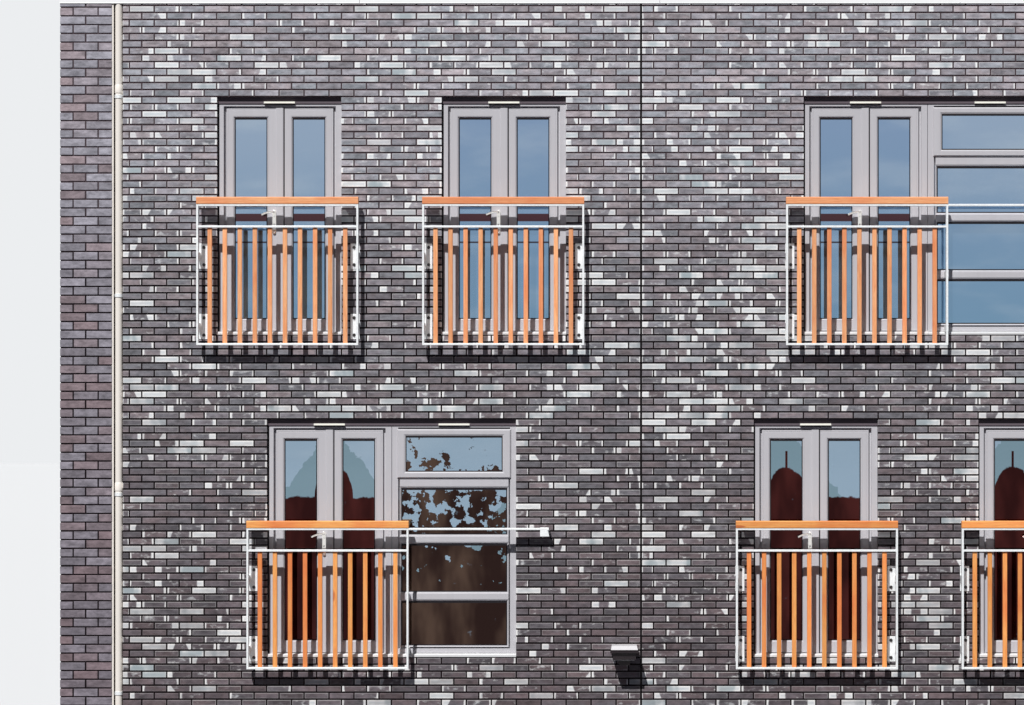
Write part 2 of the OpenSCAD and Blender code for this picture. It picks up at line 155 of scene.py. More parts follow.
def each(node, units, reach=UNIT_REACH):
    """Every unit with the boxes of its solids, one by one."""
    return [(unit, low, high) for unit in units for low, high in parts(node, unit, reach)]


door_units, side_units, entrance_units = map(units_at, ("cover_strips", "vent_sashes", "entrance_leaf"))
all_units = door_units + side_units + entrance_units
guard_units = [u for u in door_units if u.place.z > min(v.place.z for v in door_units) + 0.1]
print(len(door_units), "pairs of doors,", len(side_units), "side windows,", len(guard_units), "guard rails")

# %% [markdown]
# ## The camera
# The photograph looks straight at the wall: its level lines stay level and its upright lines stay
# upright, as with a shift lens. A long lens far away, square to the wall, gives the same picture.
# The view point sits a little to the right and below the middle, which a small lens shift evens out.

# %% Camera
PICTURE_W, PICTURE_H = 1024, 705
SCALE = 0.22 / 24.96
MOVEMENT_JOINT_X = -0.165
JOINT_PIXEL, SILL_PIXEL = 641.1, 657.2
DISTANCE, SENSOR, SEEN_TO = 22.0, 36.0, 400
SHIFT_X, SHIFT_Z = 0.10, 0.05
first_sill = sorted({round(u.place.z, 4) for u in door_units})[1]
picture_x = MOVEMENT_JOINT_X + (PICTURE_W / 2 - JOINT_PIXEL) * SCALE
picture_z = first_sill + (SILL_PIXEL - PICTURE_H / 2) * SCALE
view_w = PICTURE_W * SCALE


def shown(name, data):
    """A new object, linked to the scene."""
    made = bpy.data.objects.new(name, data)
    bpy.context.scene.collection.objects.link(made)
    return made


camera = shown("camera", bpy.data.cameras.new("camera"))
camera.data.sensor_width = SENSOR
camera.data.lens = SENSOR * DISTANCE / view_w
camera.data.shift_x = -SHIFT_X
camera.data.shift_y = SHIFT_Z
camera.data.clip_end = SEEN_TO
camera.location = (picture_x + SHIFT_X * view_w, -FACE - DISTANCE, picture_z - SHIFT_Z * view_w)
camera.rotation_euler = (math.radians(90), 0, 0)
bpy.context.scene.camera = camera
print("picture middle", round(picture_x, 3), round(picture_z, 3))

# %% [markdown]
# ## Writing node trees as sums
# Materials here are built from many small sums. Linking Math nodes by hand hides them, so a small
# class wraps a socket: adding, multiplying or comparing two of them adds the Math node. Every other
# node comes from one method that takes its type, its settings and the values or links of its inputs.

# %% Sockets that can be added and multiplied
class Wire:
    """A socket that answers to arithmetic with Math nodes."""

    def __init__(self, graph, socket):
        self.graph, self.socket = graph, socket

    def math(self, operation, other=0.0, swapped=False):
        pair = (other, self) if swapped else (self, other)
        return self.graph.add("ShaderNodeMath", {"operation": operation}, {0: pair[0], 1: pair[1]})

    def __add__(self, other):
        return self.math("ADD", other)

    def __mul__(self, other):
        return self.math("MULTIPLY", other)

    __radd__, __rmul__ = __add__, __mul__

    def __sub__(self, other):
        return self.math("SUBTRACT", other)

    def __rsub__(self, other):
        return self.math("SUBTRACT", other, True)

    def __truediv__(self, other):
        return self.math("DIVIDE", other)

    def __lt__(self, other):
        return self.math("LESS_THAN", other)

    def __gt__(self, other):
        return self.math("GREATER_THAN", other)

    def max(self, other):
        return self.math("MAXIMUM", other)

    def min(self, other):
        return self.math("MINIMUM", other)

    def absolute(self):
        return self.math("ABSOLUTE")

    def fraction(self):
        return self.math("FRACT")

    def step(self, low, high):
        """0 below low, 1 above high, and smooth between them."""
        return self.graph.add("ShaderNodeMapRange", {"interpolation_type": "SMOOTHSTEP"},
                              {"Value": self, "From Min": low, "From Max": high})


# %% [markdown]
# A graph wraps one node tree. Beside the plain method for any node it has short ones for what comes
# back in most materials: noise, stretched noise, the three numbers of a place, a number that a piece
# carries, and colours that are mixed or made lighter and darker.

# %% Node trees
class Graph:
    """A node tree that is filled by add()."""

    def __init__(self, tree):
        self.tree = tree

    def feed(self, socket, value):
        if isinstance(value, Wire):
            self.tree.links.new(value.socket, socket)
        else:
            socket.default_value = value

    def node(self, kind, settings=None, inputs=None):
        made = self.tree.nodes.new(kind)
        for name, value in (settings or {}).items():
            setattr(made, name, value)
        for name, value in (inputs or {}).items():
            self.feed(made.inputs[name], value)
        return made

    def add(self, kind, settings=None, inputs=None, output=0):
        return Wire(self, self.node(kind, settings, inputs).outputs[output])

    def noise(self, where, scale, detail=3.0, roughness=0.55):
        return self.add("ShaderNodeTexNoise", None,
                        {"Vector": where, "Scale": scale, "Detail": detail, "Roughness": roughness})

    def stretched(self, where, scale):
        """The same place with each axis scaled, for grain and brushing."""
        return self.add("ShaderNodeMapping", None, {"Vector": where, "Scale": scale})

    def streaks(self, where, scale, detail=3.0, roughness=0.55):
        """Noise with its own scale along each axis."""
        return self.noise(self.stretched(where, scale), 1.0, detail, roughness)

    def axes(self, vector):
        """The three numbers of a vector."""
        split = self.node("ShaderNodeSeparateXYZ", None, {"Vector": vector})
        return [Wire(self, socket) for socket in split.outputs]

    def number(self, name):
        """A number that the piece carries for each of its bricks, boards or bars."""
        return self.add("ShaderNodeAttribute", {"attribute_name": name}, None, "Fac")

    def blend(self, share, first, second, mode="MIX"):
        """Two colours mixed by a share from 0 to 1."""
        made = self.node("ShaderNodeMix", {"data_type": "RGBA", "blend_type": mode}, {"Factor": share})
        for index, value in ((6, first), (7, second)):
            self.feed(made.inputs[index], value if isinstance(value, Wire) else (*value, 1.0))
        return Wire(self, made.outputs[2])

    def shade(self, colour, value):
        """A colour multiplied by one value."""
        grey = self.add("ShaderNodeCombineColor", None, {0: value, 1: value, 2: value})
        return self.blend(1.0, colour, grey, "MULTIPLY")

    def vary(self, colour, amount, pattern):
        """A colour made lighter and darker by a pattern, which varies by the amount in all."""
        return self.shade(colour, 1.0 + (pattern - 0.5) * amount)

    def bump(self, height, strength, distance):
        inputs = {"Height": height, "Strength": strength, "Distance": distance}
        return self.add("ShaderNodeBump", None, inputs)


def tone(*values):
    """A colour as the eye reads it from 0 to 255, as the linear values that a shader takes."""
    return tuple((v / 255 / 12.92) if v < 11 else ((v / 255 + 0.055) / 1.055) ** 2.4 for v in values)


def surface(name, build):
    """A material whose Principled inputs come from build(graph, place)."""
    made = bpy.data.materials.new(name)
    made.use_nodes = True
    made.node_tree.nodes.clear()
    graph = Graph(made.node_tree)
    place = graph.add("ShaderNodeTexCoord", None, None, "Object")
    shader = graph.add("ShaderNodeBsdfPrincipled", None, build(graph, place))
    graph.node("ShaderNodeOutputMaterial", None, {"Surface": shader})
    return made


def dress(node, finish):
    """Gives a node of the frame its finish."""
    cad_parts[node].data.materials.clear()
    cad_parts[node].data.materials.append(finish)


# %% [markdown]
# ## Brick, glazed in patches
# The bricks are grey, some bluish and some violet, with fine level marks. About one in eight has a
# pale glaze over its whole face, greyer in the middle and whiter at the rim, and thin enough in
# places to look grey-green. Many more carry it only as a narrow bar at one or both ends, at times
# with a slanting edge. Low down the wall is darker and near the top it is paler: this is painted
# sheen and shade, not a change in the bricks. Each brick carries a few numbers of its own, which the
# material reads together with a face coordinate that runs from 0 to 1 along the brick.

# %% Tones and weather of the bricks
BRICK_L, BRICK_H = 0.210, 0.050
COOL_BRICK, VIOLET_BRICK, WARM_BRICK = tone(150, 153, 160), tone(154, 151, 158), tone(160, 151, 155)
GLAZE, COOL_GLAZE, THIN_GLAZE = tone(254, 254, 253), tone(216, 222, 226), tone(148, 164, 170)
BRICK_FOOT, GLAZE_FOOT, PLAIN_FOOT = (0.36, 0.305, 0.305), (0.88, 0.86, 0.85), (0.62, 0.57, 0.58)
# Painted sheen and shade: heights over which the bricks pass from darker low down to paler at the top.
HALF_SHEEN_AT, FULL_SHEEN_AT = (2.8, 6.8), (6.3, 7.6)
DARKEST = 0.25
DULL = 0.2


def painted_height_shade(graph, place, colour, foot):
    """Painted sheen and shade: a colour that is paler near the top and darker low down, where it is
    multiplied by the three values of foot.
    """
    up = graph.axes(place)[2]
    sheen_share = (up.step(*HALF_SHEEN_AT) + up.step(*FULL_SHEEN_AT)) * 0.5
    return graph.blend(1.0, colour, graph.blend(sheen_share, foot, (1.0, 1.0, 1.0)), "MULTIPLY")


def brick_weather(graph, place):
    """Fine speckle, and it with level marks, stain patches and blotches as one multiplier about 1."""
    speckle = graph.noise(place, 260.0, 2.0)
    marks = graph.streaks(place, (17.0, 17.0, 210.0))
    stain = graph.noise(place, 1.1, 4.0)
    blotch = graph.streaks(place, (13.0, 13.0, 26.0), 4.0, 0.62)
    weather = 1.0
    for pattern, amount in ((speckle, 0.22), (marks, 0.34), (stain, 0.30), (blotch, 1.9)):
        weather = weather + (pattern - 0.5) * amount
    return speckle, weather.max(DARKEST)


# %% Glazed bricks
def glaze_cover(graph, place, edge, along, up):
    """How much glaze lies on a point: end bars, a whole face, a thin pale rim or a haze."""
    ragged = (graph.noise(place, 42.0, 3.0) - 0.5) * 0.05
    bars, rims = graph.number("bar_cover"), graph.number("pale_rim")
    ends = None
    for side, from_end in (("left", along), ("right", 1.0 - along)):
        inward = from_end + (up - 0.5) * graph.number("slant_" + side) + ragged
        bar = 1.0 - (inward - graph.number("glaze_" + side)).step(-0.028, 0.034)
        ends = ends.max(bar) if ends else bar
    mottle = graph.streaks(place, (11.0, 11.0, 34.0))
    whole = (graph.number("whole") * (0.35 + mottle * 1.3)).min(1.0)
    rim = (1.0 - edge.step(0.03, 0.17)) * rims
    haze = graph.streaks(place, (16.0, 16.0, 30.0)).step(0.54, 0.76) * (bars * 0.55 + rims * 0.6)
    return (ends * bars).max(whole).max(rim).max(haze), mottle


def glazed_brick(graph, place):
    face = graph.add("ShaderNodeUVMap", {"uv_map": "brick_face"})
    along, up, _ = graph.axes(face)
    edge = (along.min(1.0 - along) * (BRICK_L / BRICK_H)).min(up.min(1.0 - up))
    tint = graph.number("tint")
    second = (tint * 7.0).fraction()
    speckle, weather = brick_weather(graph, place)
    glaze, mottle = glaze_cover(graph, place, edge, along, up)
    hue = tint + (graph.streaks(place, (8.0, 8.0, 20.0)) - 0.5) * 1.6
    body = graph.blend(hue.step(0.50, 1.0), VIOLET_BRICK, WARM_BRICK)
    body = graph.blend(1.0 - hue.step(0.0, 0.50), body, COOL_BRICK)
    body = painted_height_shade(graph, place, graph.shade(body, weather * (0.74 + second * 0.50)), BRICK_FOOT)
    cool = edge.step(0.12, 0.36) * (mottle * 1.6 - 0.1).max(0.0).min(1.0)
    pale = graph.blend(cool, GLAZE, COOL_GLAZE)
    pale = graph.blend(speckle.step(0.58, 0.72) * 0.20, pale, WARM_BRICK)
    thin = graph.streaks(place, (6.5, 6.5, 3.0), 2.0).step(0.40, 0.60)
    thin = thin * graph.number("whole").min(0.8) * (second * 1.5).min(1.0)
    pale = painted_height_shade(graph, place, graph.blend(thin, pale, THIN_GLAZE), GLAZE_FOOT)
    return {"Base Color": graph.blend(glaze, body, pale),
            "Roughness": 0.66 - glaze * 0.30 + (speckle - 0.5) * 0.12, "Specular IOR Level": DULL,
            "Normal": graph.bump(speckle * 0.5 + graph.noise(place, 60.0, 3.0), 0.30, 0.0012)}


# %% Plain bricks and mortar
PLAIN_COOL, PLAIN_WARM = tone(158, 156, 165), tone(152, 137, 141)
ROOMS_X, ROOMS_Y, ROOMS_TOP = FRONT_HALF + 0.09, FACE - WALL_T + 0.01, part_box("roof_slab")[0].z
SHADED_LOW_MORTAR, MORTAR_LOW, MORTAR_HIGH = tone(22, 14, 17), tone(66, 55, 59), tone(86, 74, 78)
PLASTER = tone(226, 223, 216)


def plain_brick(graph, place):
    tint = graph.number("tint")
    speckle, weather = brick_weather(graph, place)
    body = graph.blend(tint.step(0.45, 1.0), PLAIN_COOL, PLAIN_WARM)
    body = graph.shade(body, weather * (0.78 + (tint * 7.0).fraction() * 0.36))
    return {"Base Color": painted_height_shade(graph, place, body, PLAIN_FOOT),
            "Roughness": 0.74 + (speckle - 0.5) * 0.15, "Specular IOR Level": DULL,
            "Normal": graph.bump(speckle * 0.6 + graph.noise(place, 45.0, 4.0), 0.45, 0.0014)}


def mortar(graph, place):
    """Mortar with painted shade, much darker low down and paler above, and pale plaster on the faces that
    look into the rooms.
    """
    grit = graph.noise(place, 420.0, 2.0)
    across, deep, up = graph.axes(place)
    indoors = (across.absolute() < ROOMS_X) * (deep.absolute() < ROOMS_Y) * (up < ROOMS_TOP)
    sheen_mortar = graph.blend(graph.noise(place, 7.0, 4.0), MORTAR_LOW, MORTAR_HIGH)
    # Painted shade and sheen: very dark mortar below 6.2 m, paler mottled mortar above 7.3 m.
    colour = graph.blend(up.step(6.2, 7.3), SHADED_LOW_MORTAR, sheen_mortar)
    return {"Base Color": graph.blend(indoors, colour, PLASTER),
            "Roughness": 0.9 + (grit - 0.5) * 0.1, "Specular IOR Level": DULL / 2,
            "Normal": graph.bump(grit, 0.6, 0.001)}


glazed_brick_finish = surface("glazed_brick", glazed_brick)
plain_brick_finish = surface("plain_brick", plain_brick)
mortar_finish = surface("mortar", mortar)
for node in ("left_wall", "right_wall", "front_plinth", "front_piers_ground", "front_band_first",
             "front_piers_first", "front_band_second", "front_piers_second", "front_parapet",
             "rear_bands", "rear_piers", "slot_backings"):
    dress(node, mortar_finish)

# %% [markdown]
# ## Laying the bricks
# A running bond follows a rule: the upright joints of one course stand half a brick from those of
# the next. So the bricks are worked out course by course, cut short at each opening and at the
# movement joint, and one point is written for each brick with its size and its own numbers. A
# Geometry Nodes tree then sets a small bevelled brick on each point. Bricks at a corner or a jamb
# run back into the wall, so that the reveals show brick too.

# %% Courses and cuts
COURSES = 142
COURSE = WALL_TOP / COURSES
PITCH = 0.220
JOINT, BED_JOINT = 0.0125, 0.0145
PROUD, SUNK = 0.006, 0.004
JAMB_LAP = 0.002
SHORTEST = 0.035
JOINT_GAP = 0.018
REVEAL = parts("frame_jambs", door_units[0])[0][0].y
SLOT_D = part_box("slot_backings")[0].y + FACE


def without(stretch, gaps):
    """What is left of a stretch when the gaps are cut out."""
    left = [stretch]
    for low, high in gaps:
        cut = [(a, b) for start, end in left for a, b in ((start, min(end, low)), (max(start, high), end))]
        left = [(a, b) for a, b in cut if b - a > 1e-6]
    return left


def bricks_between(low, high, first_joint, joint=JOINT):
    """Ends of the bricks from low to high, with upright joints one pitch apart."""
    first = math.ceil((low + SHORTEST - first_joint) / PITCH)
    last = math.floor((high - SHORTEST - first_joint) / PITCH)
    edges = [low] + [first_joint + i * PITCH for i in range(first, last + 1)] + [high]
    ends = []
    for index, (a, b) in enumerate(zip(edges, edges[1:])):
        start = a if index == 0 else a + joint / 2
        stop = b if index == len(edges) - 2 else b - joint / 2
        ends.append((start, stop))
    return ends


def holes_of(front):
    """Left, right, bottom and top of each opening, as seen from outside."""
    sign = 1 if front else -1
    heads = [box for box in solids("head_strips") if (box[0].y < 0) == front]
    found = []
    for low, high in sill_boxes:
        if (low.y < 0) != front:
            continue
        top = min(b.z for a, b in heads if a.x < (low.x + high.x) / 2 < b.x and b.z > high.z)
        left, right = sorted((sign * low.x, sign * high.x))
        found.append((left, right, low.z, top))
    return found


def patterned_wall(front):
    """Centre, size, turn and kind of each brick of the street front, or of the like rear."""
    field = []
    sign, turn = (1, 0.0) if front else (-1, math.pi)
    holes = holes_of(front)
    door_head = min(h[3] for h in holes)
    for course in range(COURSES):
        middle = (course + 0.5) * COURSE
        gaps = [(h[0], h[1]) for h in holes if h[2] < middle < h[3]]
        jambs = {round(edge, 4) for gap in gaps for edge in gap}
        if middle > door_head:
            gaps.append((MOVEMENT_JOINT_X - JOINT_GAP / 2, MOVEMENT_JOINT_X + JOINT_GAP / 2))
        first_joint = MOVEMENT_JOINT_X + (0 if course % 2 else PITCH / 2)
        for start, stop in without((-FRONT_HALF, FRONT_HALF), gaps):
            for a, b in bricks_between(start, stop, first_joint):
                at_left = round(a, 4) in jambs or a == -FRONT_HALF
                at_right = round(b, 4) in jambs or b == FRONT_HALF
                back = REVEAL if at_left or at_right else SUNK
                if a == -FRONT_HALF or b == FRONT_HALF:
                    back = SLOT_D
                a, b = a - JAMB_LAP * at_left, b + JAMB_LAP * at_right
                centre = (sign * (a + b) / 2, sign * (-FACE - PROUD / 2 + back / 2), middle)
                field.append((centre, (b - a, PROUD + back, COURSE - BED_JOINT), turn, at_left or at_right))
    return field


front_field, rear_field = patterned_wall(True), patterned_wall(False)
print("patterned bricks:", len(front_field), "in front,", len(rear_field), "at the rear")

# %% [markdown]
# The side walls are plain and have thicker bricks. At each corner a brick shows its long face on one
# side and its short face on the other, and the next course turns that round, as a bricklayer does.

# %% Plain side walls
PLAIN_COURSES = 114
PLAIN_COURSE = WALL_TOP / PLAIN_COURSES
PLAIN_JOINT = 0.011
CORNER_LONG, CORNER_SHORT = 0.215, 0.105


def plain_wall(sign):
    """The bricks of one side wall, with both of its ends. sign is 1 on the right."""
    field = []
    outer, inner = side_high.x, side_low.x
    height = PLAIN_COURSE - PLAIN_JOINT
    for course in range(PLAIN_COURSES):
        middle = (course + 0.5) * PLAIN_COURSE
        wide, deep = (CORNER_LONG, CORNER_SHORT) if course % 2 else (CORNER_SHORT, CORNER_LONG)
        corner = outer - wide - PLAIN_JOINT
        for end, turn in ((-1, 0.0), (1, math.pi)):
            centre = (sign * (outer + PROUD / 2 - wide / 2), end * (FACE + PROUD / 2 - deep / 2), middle)
            field.append((centre, (wide + PROUD, deep + PROUD, height), turn, True))
            for a, b in bricks_between(inner, corner, outer - wide - PLAIN_JOINT / 2, PLAIN_JOINT):
                at_slot = a == inner
                back = SLOT_D if at_slot else SUNK
                a -= JAMB_LAP * at_slot
                centre = (sign * (a + b) / 2, end * (FACE + PROUD / 2 - back / 2), middle)
                field.append((centre, (b - a, PROUD + back, height), turn, at_slot))
        run = FACE - deep - PLAIN_JOINT
        for a, b in bricks_between(-run, run, -FACE + deep + PLAIN_JOINT / 2, PLAIN_JOINT):
            centre = (sign * (outer + PROUD / 2 - SUNK / 2), (a + b) / 2, middle)
            field.append((centre, (b - a, PROUD + SUNK, height), sign * math.pi / 2, False))
    return field


right_field, left_field = plain_wall(1), plain_wall(-1)
print("plain bricks:", len(right_field), "on each side wall")

# %% [markdown]
# ## Which bricks are glazed
# The pale bricks gather in loose drifts across the wall. A slow noise over the wall raises or lowers
# the chance of glaze, and a seeded random draw decides for each brick which kind it gets. Most end
# bars are a centimetre or two wide; one in three reaches further in.

# %% Numbers for each brick
NUMBER_NAMES = ("glaze_left", "glaze_right", "slant_left", "slant_right", "bar_cover", "whole", "pale_rim")
NO_GLAZE = -0.3
SHORT_BARS = 0.66
BAR_AT_LEFT, BAR_AT_RIGHT = 0.70, 0.34
rng = np.random.default_rng(11)


def end_bar():
    """Reach and slant of the glaze at one end of a brick, as shares of its length."""
    if rng.random() < SHORT_BARS:
        return 0.045 + 0.055 * rng.random(), (rng.random() - 0.5) * 0.06
    return 0.12 + 0.20 * rng.random(), (rng.random() - 0.5) * 0.34 * (rng.random() < 0.5)


def drift_at(centre):
    """Slow noise over the wall, about 0, which gathers the pale bricks."""
    x, y, z = centre
    broad = noise.noise(Vector((x * 0.8, y + 3.0, z * 1.1)))
    return broad + 0.7 * noise.noise(Vector((x * 2.7, y - 7.0, z * 3.4)))


def glaze_numbers(field, patterned):
    """Glaze, slant, rim and tint of every brick, as arrays."""
    count = len(field)
    numbers = {name: np.zeros(count) for name in NUMBER_NAMES}
    numbers["tint"] = rng.random(count)
    if not patterned:
        return numbers
    numbers["glaze_left"][:] = NO_GLAZE
    numbers["glaze_right"][:] = NO_GLAZE
    numbers["pale_rim"] = 0.03 + 0.30 * rng.random(count) ** 2
    for i, brick in enumerate(field):
        drift = drift_at(brick[0])
        if rng.random() < min(0.40, max(0.04, 0.115 + 0.22 * drift)):
            numbers["whole"][i] = 0.50 + 0.56 * rng.random()
        elif rng.random() < min(0.80, max(0.28, 0.52 + 0.30 * drift)):
            kind = rng.random()
            numbers["bar_cover"][i] = 1.0 - 0.35 * rng.random() ** 2
            if kind < BAR_AT_LEFT:
                numbers["glaze_left"][i], numbers["slant_left"][i] = end_bar()
            if kind > BAR_AT_RIGHT:
                numbers["glaze_right"][i], numbers["slant_right"][i] = end_bar()
    return numbers


# %% [markdown]
# ## The brick itself
# A brick's front edges are slightly worn. The model has a front face, four slim chamfers, four sides
# and a back, twenty triangles in all, because it is repeated thousands of times. Its face coordinate
# runs from 0 to 1 and stays at the end value round the corner, so glaze wraps round onto a jamb.

# %% Prototype brick
WORN_EDGE = 0.0022


def mesh_of(bm, name):
    """The mesh of what was drawn, with its faces turned outwards."""
    bmesh.ops.recalc_face_normals(bm, faces=bm.faces)
    mesh = bpy.data.meshes.new(name)
    bm.to_mesh(mesh)
    bm.free()
    return mesh


def prototype(bm, name):
    """An object that is only copied from, and never shown."""
    made = shown(name, mesh_of(bm, name))
    made.hide_render = True
    return made


def brick_prototype(name, depth):
    """A brick of unit size in each direction, whose front edges are chamfered in real size."""
    cut = (WORN_EDGE / BRICK_L, WORN_EDGE / depth, WORN_EDGE / BRICK_H)
    bm = bmesh.new()
    rings = []
    for y, inset_x, inset_z in ((-0.5, cut[0], cut[2]), (-0.5 + cut[1], 0.0, 0.0), (0.5, 0.0, 0.0)):
        x, z = 0.5 - inset_x, 0.5 - inset_z
        rings.append([bm.verts.new(p) for p in ((-x, y, -z), (x, y, -z), (x, y, z), (-x, y, z))])
    bm.faces.new(rings[0])
    bm.faces.new(list(reversed(rings[-1])))
    for near, far in zip(rings, rings[1:]):
        for i in range(4):
            bm.faces.new((near[i], far[i], far[(i + 1) % 4], near[(i + 1) % 4]))
    layer = bm.loops.layers.uv.new("brick_face")
    for face in bm.faces:
        for loop in face.loops:
            loop[layer].uv = (loop.vert.co.x + 0.5, loop.vert.co.z + 0.5)
    return prototype(bm, name)


face_brick = brick_prototype("face_brick", PROUD + SUNK)
return_brick = brick_prototype("return_brick", PROUD + REVEAL)

# %% [markdown]
# Geometry Nodes sets the copies. Each point carries the size and the turn of its copy as named
# numbers, and all other named numbers pass on to the copies, where the materials read them.

# %% Trees that copy an object to points
def new_tree(name, sockets):
    """A Geometry Nodes tree with a Geometry input and output, and named inputs."""
    tree = bpy.data.node_groups.new(name, "GeometryNodeTree")
    tree.interface.new_socket("Geometry", in_out="OUTPUT", socket_type="NodeSocketGeometry")
    for label, kind in {"Geometry": "Geometry", **sockets}.items():
        tree.interface.new_socket(label, in_out="INPUT", socket_type="NodeSocket" + kind)
    graph = Graph(tree)
    entry = graph.node("NodeGroupInput")
    return tree, graph, {s.name: Wire(graph, s) for s in entry.outputs if s.name}


def close_tree(graph, geometry, material):
    """Realizes the copies, gives them their material and ends the tree."""
    real = graph.add("GeometryNodeRealizeInstances", None, {"Geometry": geometry})
    finished = graph.add("GeometryNodeSetMaterial", None, {"Geometry": real, "Material": material})
    graph.node("NodeGroupOutput", None, {"Geometry": finished})


def stored(graph, name, kind):
    return graph.add("GeometryNodeInputNamedAttribute", {"data_type": kind}, {"Name": name})


def random_vector(graph, amount, **seed):
    """A random vector for each point, with up to the amount along each axis."""
    spread = graph.add("FunctionNodeRandomValue", {"data_type": "FLOAT_VECTOR"}, {
        0: (-1.0, -1.0, -1.0), 1: (1.0, 1.0, 1.0), **seed})
    return graph.add("ShaderNodeVectorMath", {"operation": "SCALE"}, {0: spread, "Scale": amount})


def object_copies(graph, points, source, **selection):
    """Copies of an object on points, turned and scaled by the points' own numbers."""
    info = graph.node("GeometryNodeObjectInfo", None, {"Object": source, "As Instance": True})
    turn = graph.add("ShaderNodeCombineXYZ", None, {2: stored(graph, "turn", "FLOAT")})
    return graph.add("GeometryNodeInstanceOnPoints", None, {
        "Points": points, "Instance": Wire(graph, info.outputs["Geometry"]), "Rotation": turn,
        "Scale": stored(graph, "size", "FLOAT_VECTOR"), **selection})


def brick_tree():
    """Sets face bricks and return bricks on points, each a little in or out of line."""
    tree, graph, given = new_tree("brick_wall", {
        "Face brick": "Object", "Return brick": "Object", "Unevenness": "Float", "Seed": "Int",
        "Material": "Material"})
    shift = random_vector(graph, given["Unevenness"], Seed=given["Seed"])
    moved = graph.add("GeometryNodeSetPosition", None, {"Geometry": given["Geometry"], "Offset": shift})
    deep = stored(graph, "deep", "BOOLEAN")
    shallow = graph.add("FunctionNodeBooleanMath", {"operation": "NOT"}, {0: deep})
    joined = graph.node("GeometryNodeJoinGeometry")
    for source, chosen in (("Face brick", shallow), ("Return brick", deep)):
        copies = object_copies(graph, moved, given[source], Selection=chosen)
        graph.tree.links.new(copies.socket, joined.inputs[0])
    close_tree(graph, Wire(graph, joined.outputs[0]), given["Material"])
    return tree


def points_mesh(name, centres, columns):
    """A mesh of bare points with named numbers on them."""
    mesh = bpy.data.meshes.new(name)
    mesh.vertices.add(len(centres))
    mesh.vertices.foreach_set("co", np.array(centres, np.float32).ravel())
    for label, (kind, values) in columns.items():
        layer = mesh.attributes.new(label, kind, "POINT")
        layer.data.foreach_set("vector" if kind == "FLOAT_VECTOR" else "value", np.array(values).ravel())
    return mesh


def run_tree(name, mesh, tree, values):
    """Runs a tree on a mesh, and returns the result as a plain object at the origin."""
    holder = shown(name + "_points", mesh)
    modifier = holder.modifiers.new("tree", "NODES")
    modifier.node_group = tree
    for item in tree.interface.items_tree:
        if item.in_out == "INPUT" and item.name in values:
            modifier[item.identifier] = values[item.name]
    depsgraph = bpy.context.evaluated_depsgraph_get()
    made = bpy.data.meshes.new_from_object(holder.evaluated_get(depsgraph), depsgraph=depsgraph)
    holder.modifiers.clear()
    bpy.data.objects.remove(holder)
    return shown(name, made)


def finish_piece(piece, slot, *nodes):
    """Sends a piece with the building and hides the nodes that it stands for; its slot is not used."""
    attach(piece, "root")
    if nodes:
        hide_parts(*nodes)
    print(piece.name, len(piece.data.polygons), "faces")
    return piece


# %% The four brick walls
UNEVENNESS = 0.0006
wall_tree = brick_tree()


def brick_wall(name, field, patterned, seed):
    centres, sizes, turns, deep = zip(*field)
    columns = {"size": ("FLOAT_VECTOR", sizes), "turn": ("FLOAT", turns), "deep": ("BOOLEAN", deep)}
    for label, values in glaze_numbers(field, patterned).items():
        columns[label] = ("FLOAT", values)
    piece = run_tree(name, points_mesh(name, centres, columns), wall_tree, {
        "Face brick": face_brick, "Return brick": return_brick, "Unevenness": UNEVENNESS,
        "Seed": seed, "Material": glazed_brick_finish if patterned else plain_brick_finish})
    finish_piece(piece, "patterned_brick" if patterned else "plain_brick")


brick_wall("bricks_front", front_field, True, 1)
brick_wall("bricks_rear", rear_field, True, 2)
brick_wall("bricks_left", left_field, False, 3)
brick_wall("bricks_right", right_field, False, 4)

# %% [markdown]
# ## Solids by their corners
# Window bars, rails and plates are drawn rods and bars. Each one is a ring of corners carried along
# a path, so a small collector builds them all: boxes, bars, frames whose sides meet in mitres, and
# round rods along a path. Every solid is closed, and on most pieces a Bevel modifier softens the
# edges at the end.

# %% The collector
def circle(sides):
    """Angles of evenly spaced corners round a circle."""
    return [2 * math.pi * k / sides for k in range(sides)]


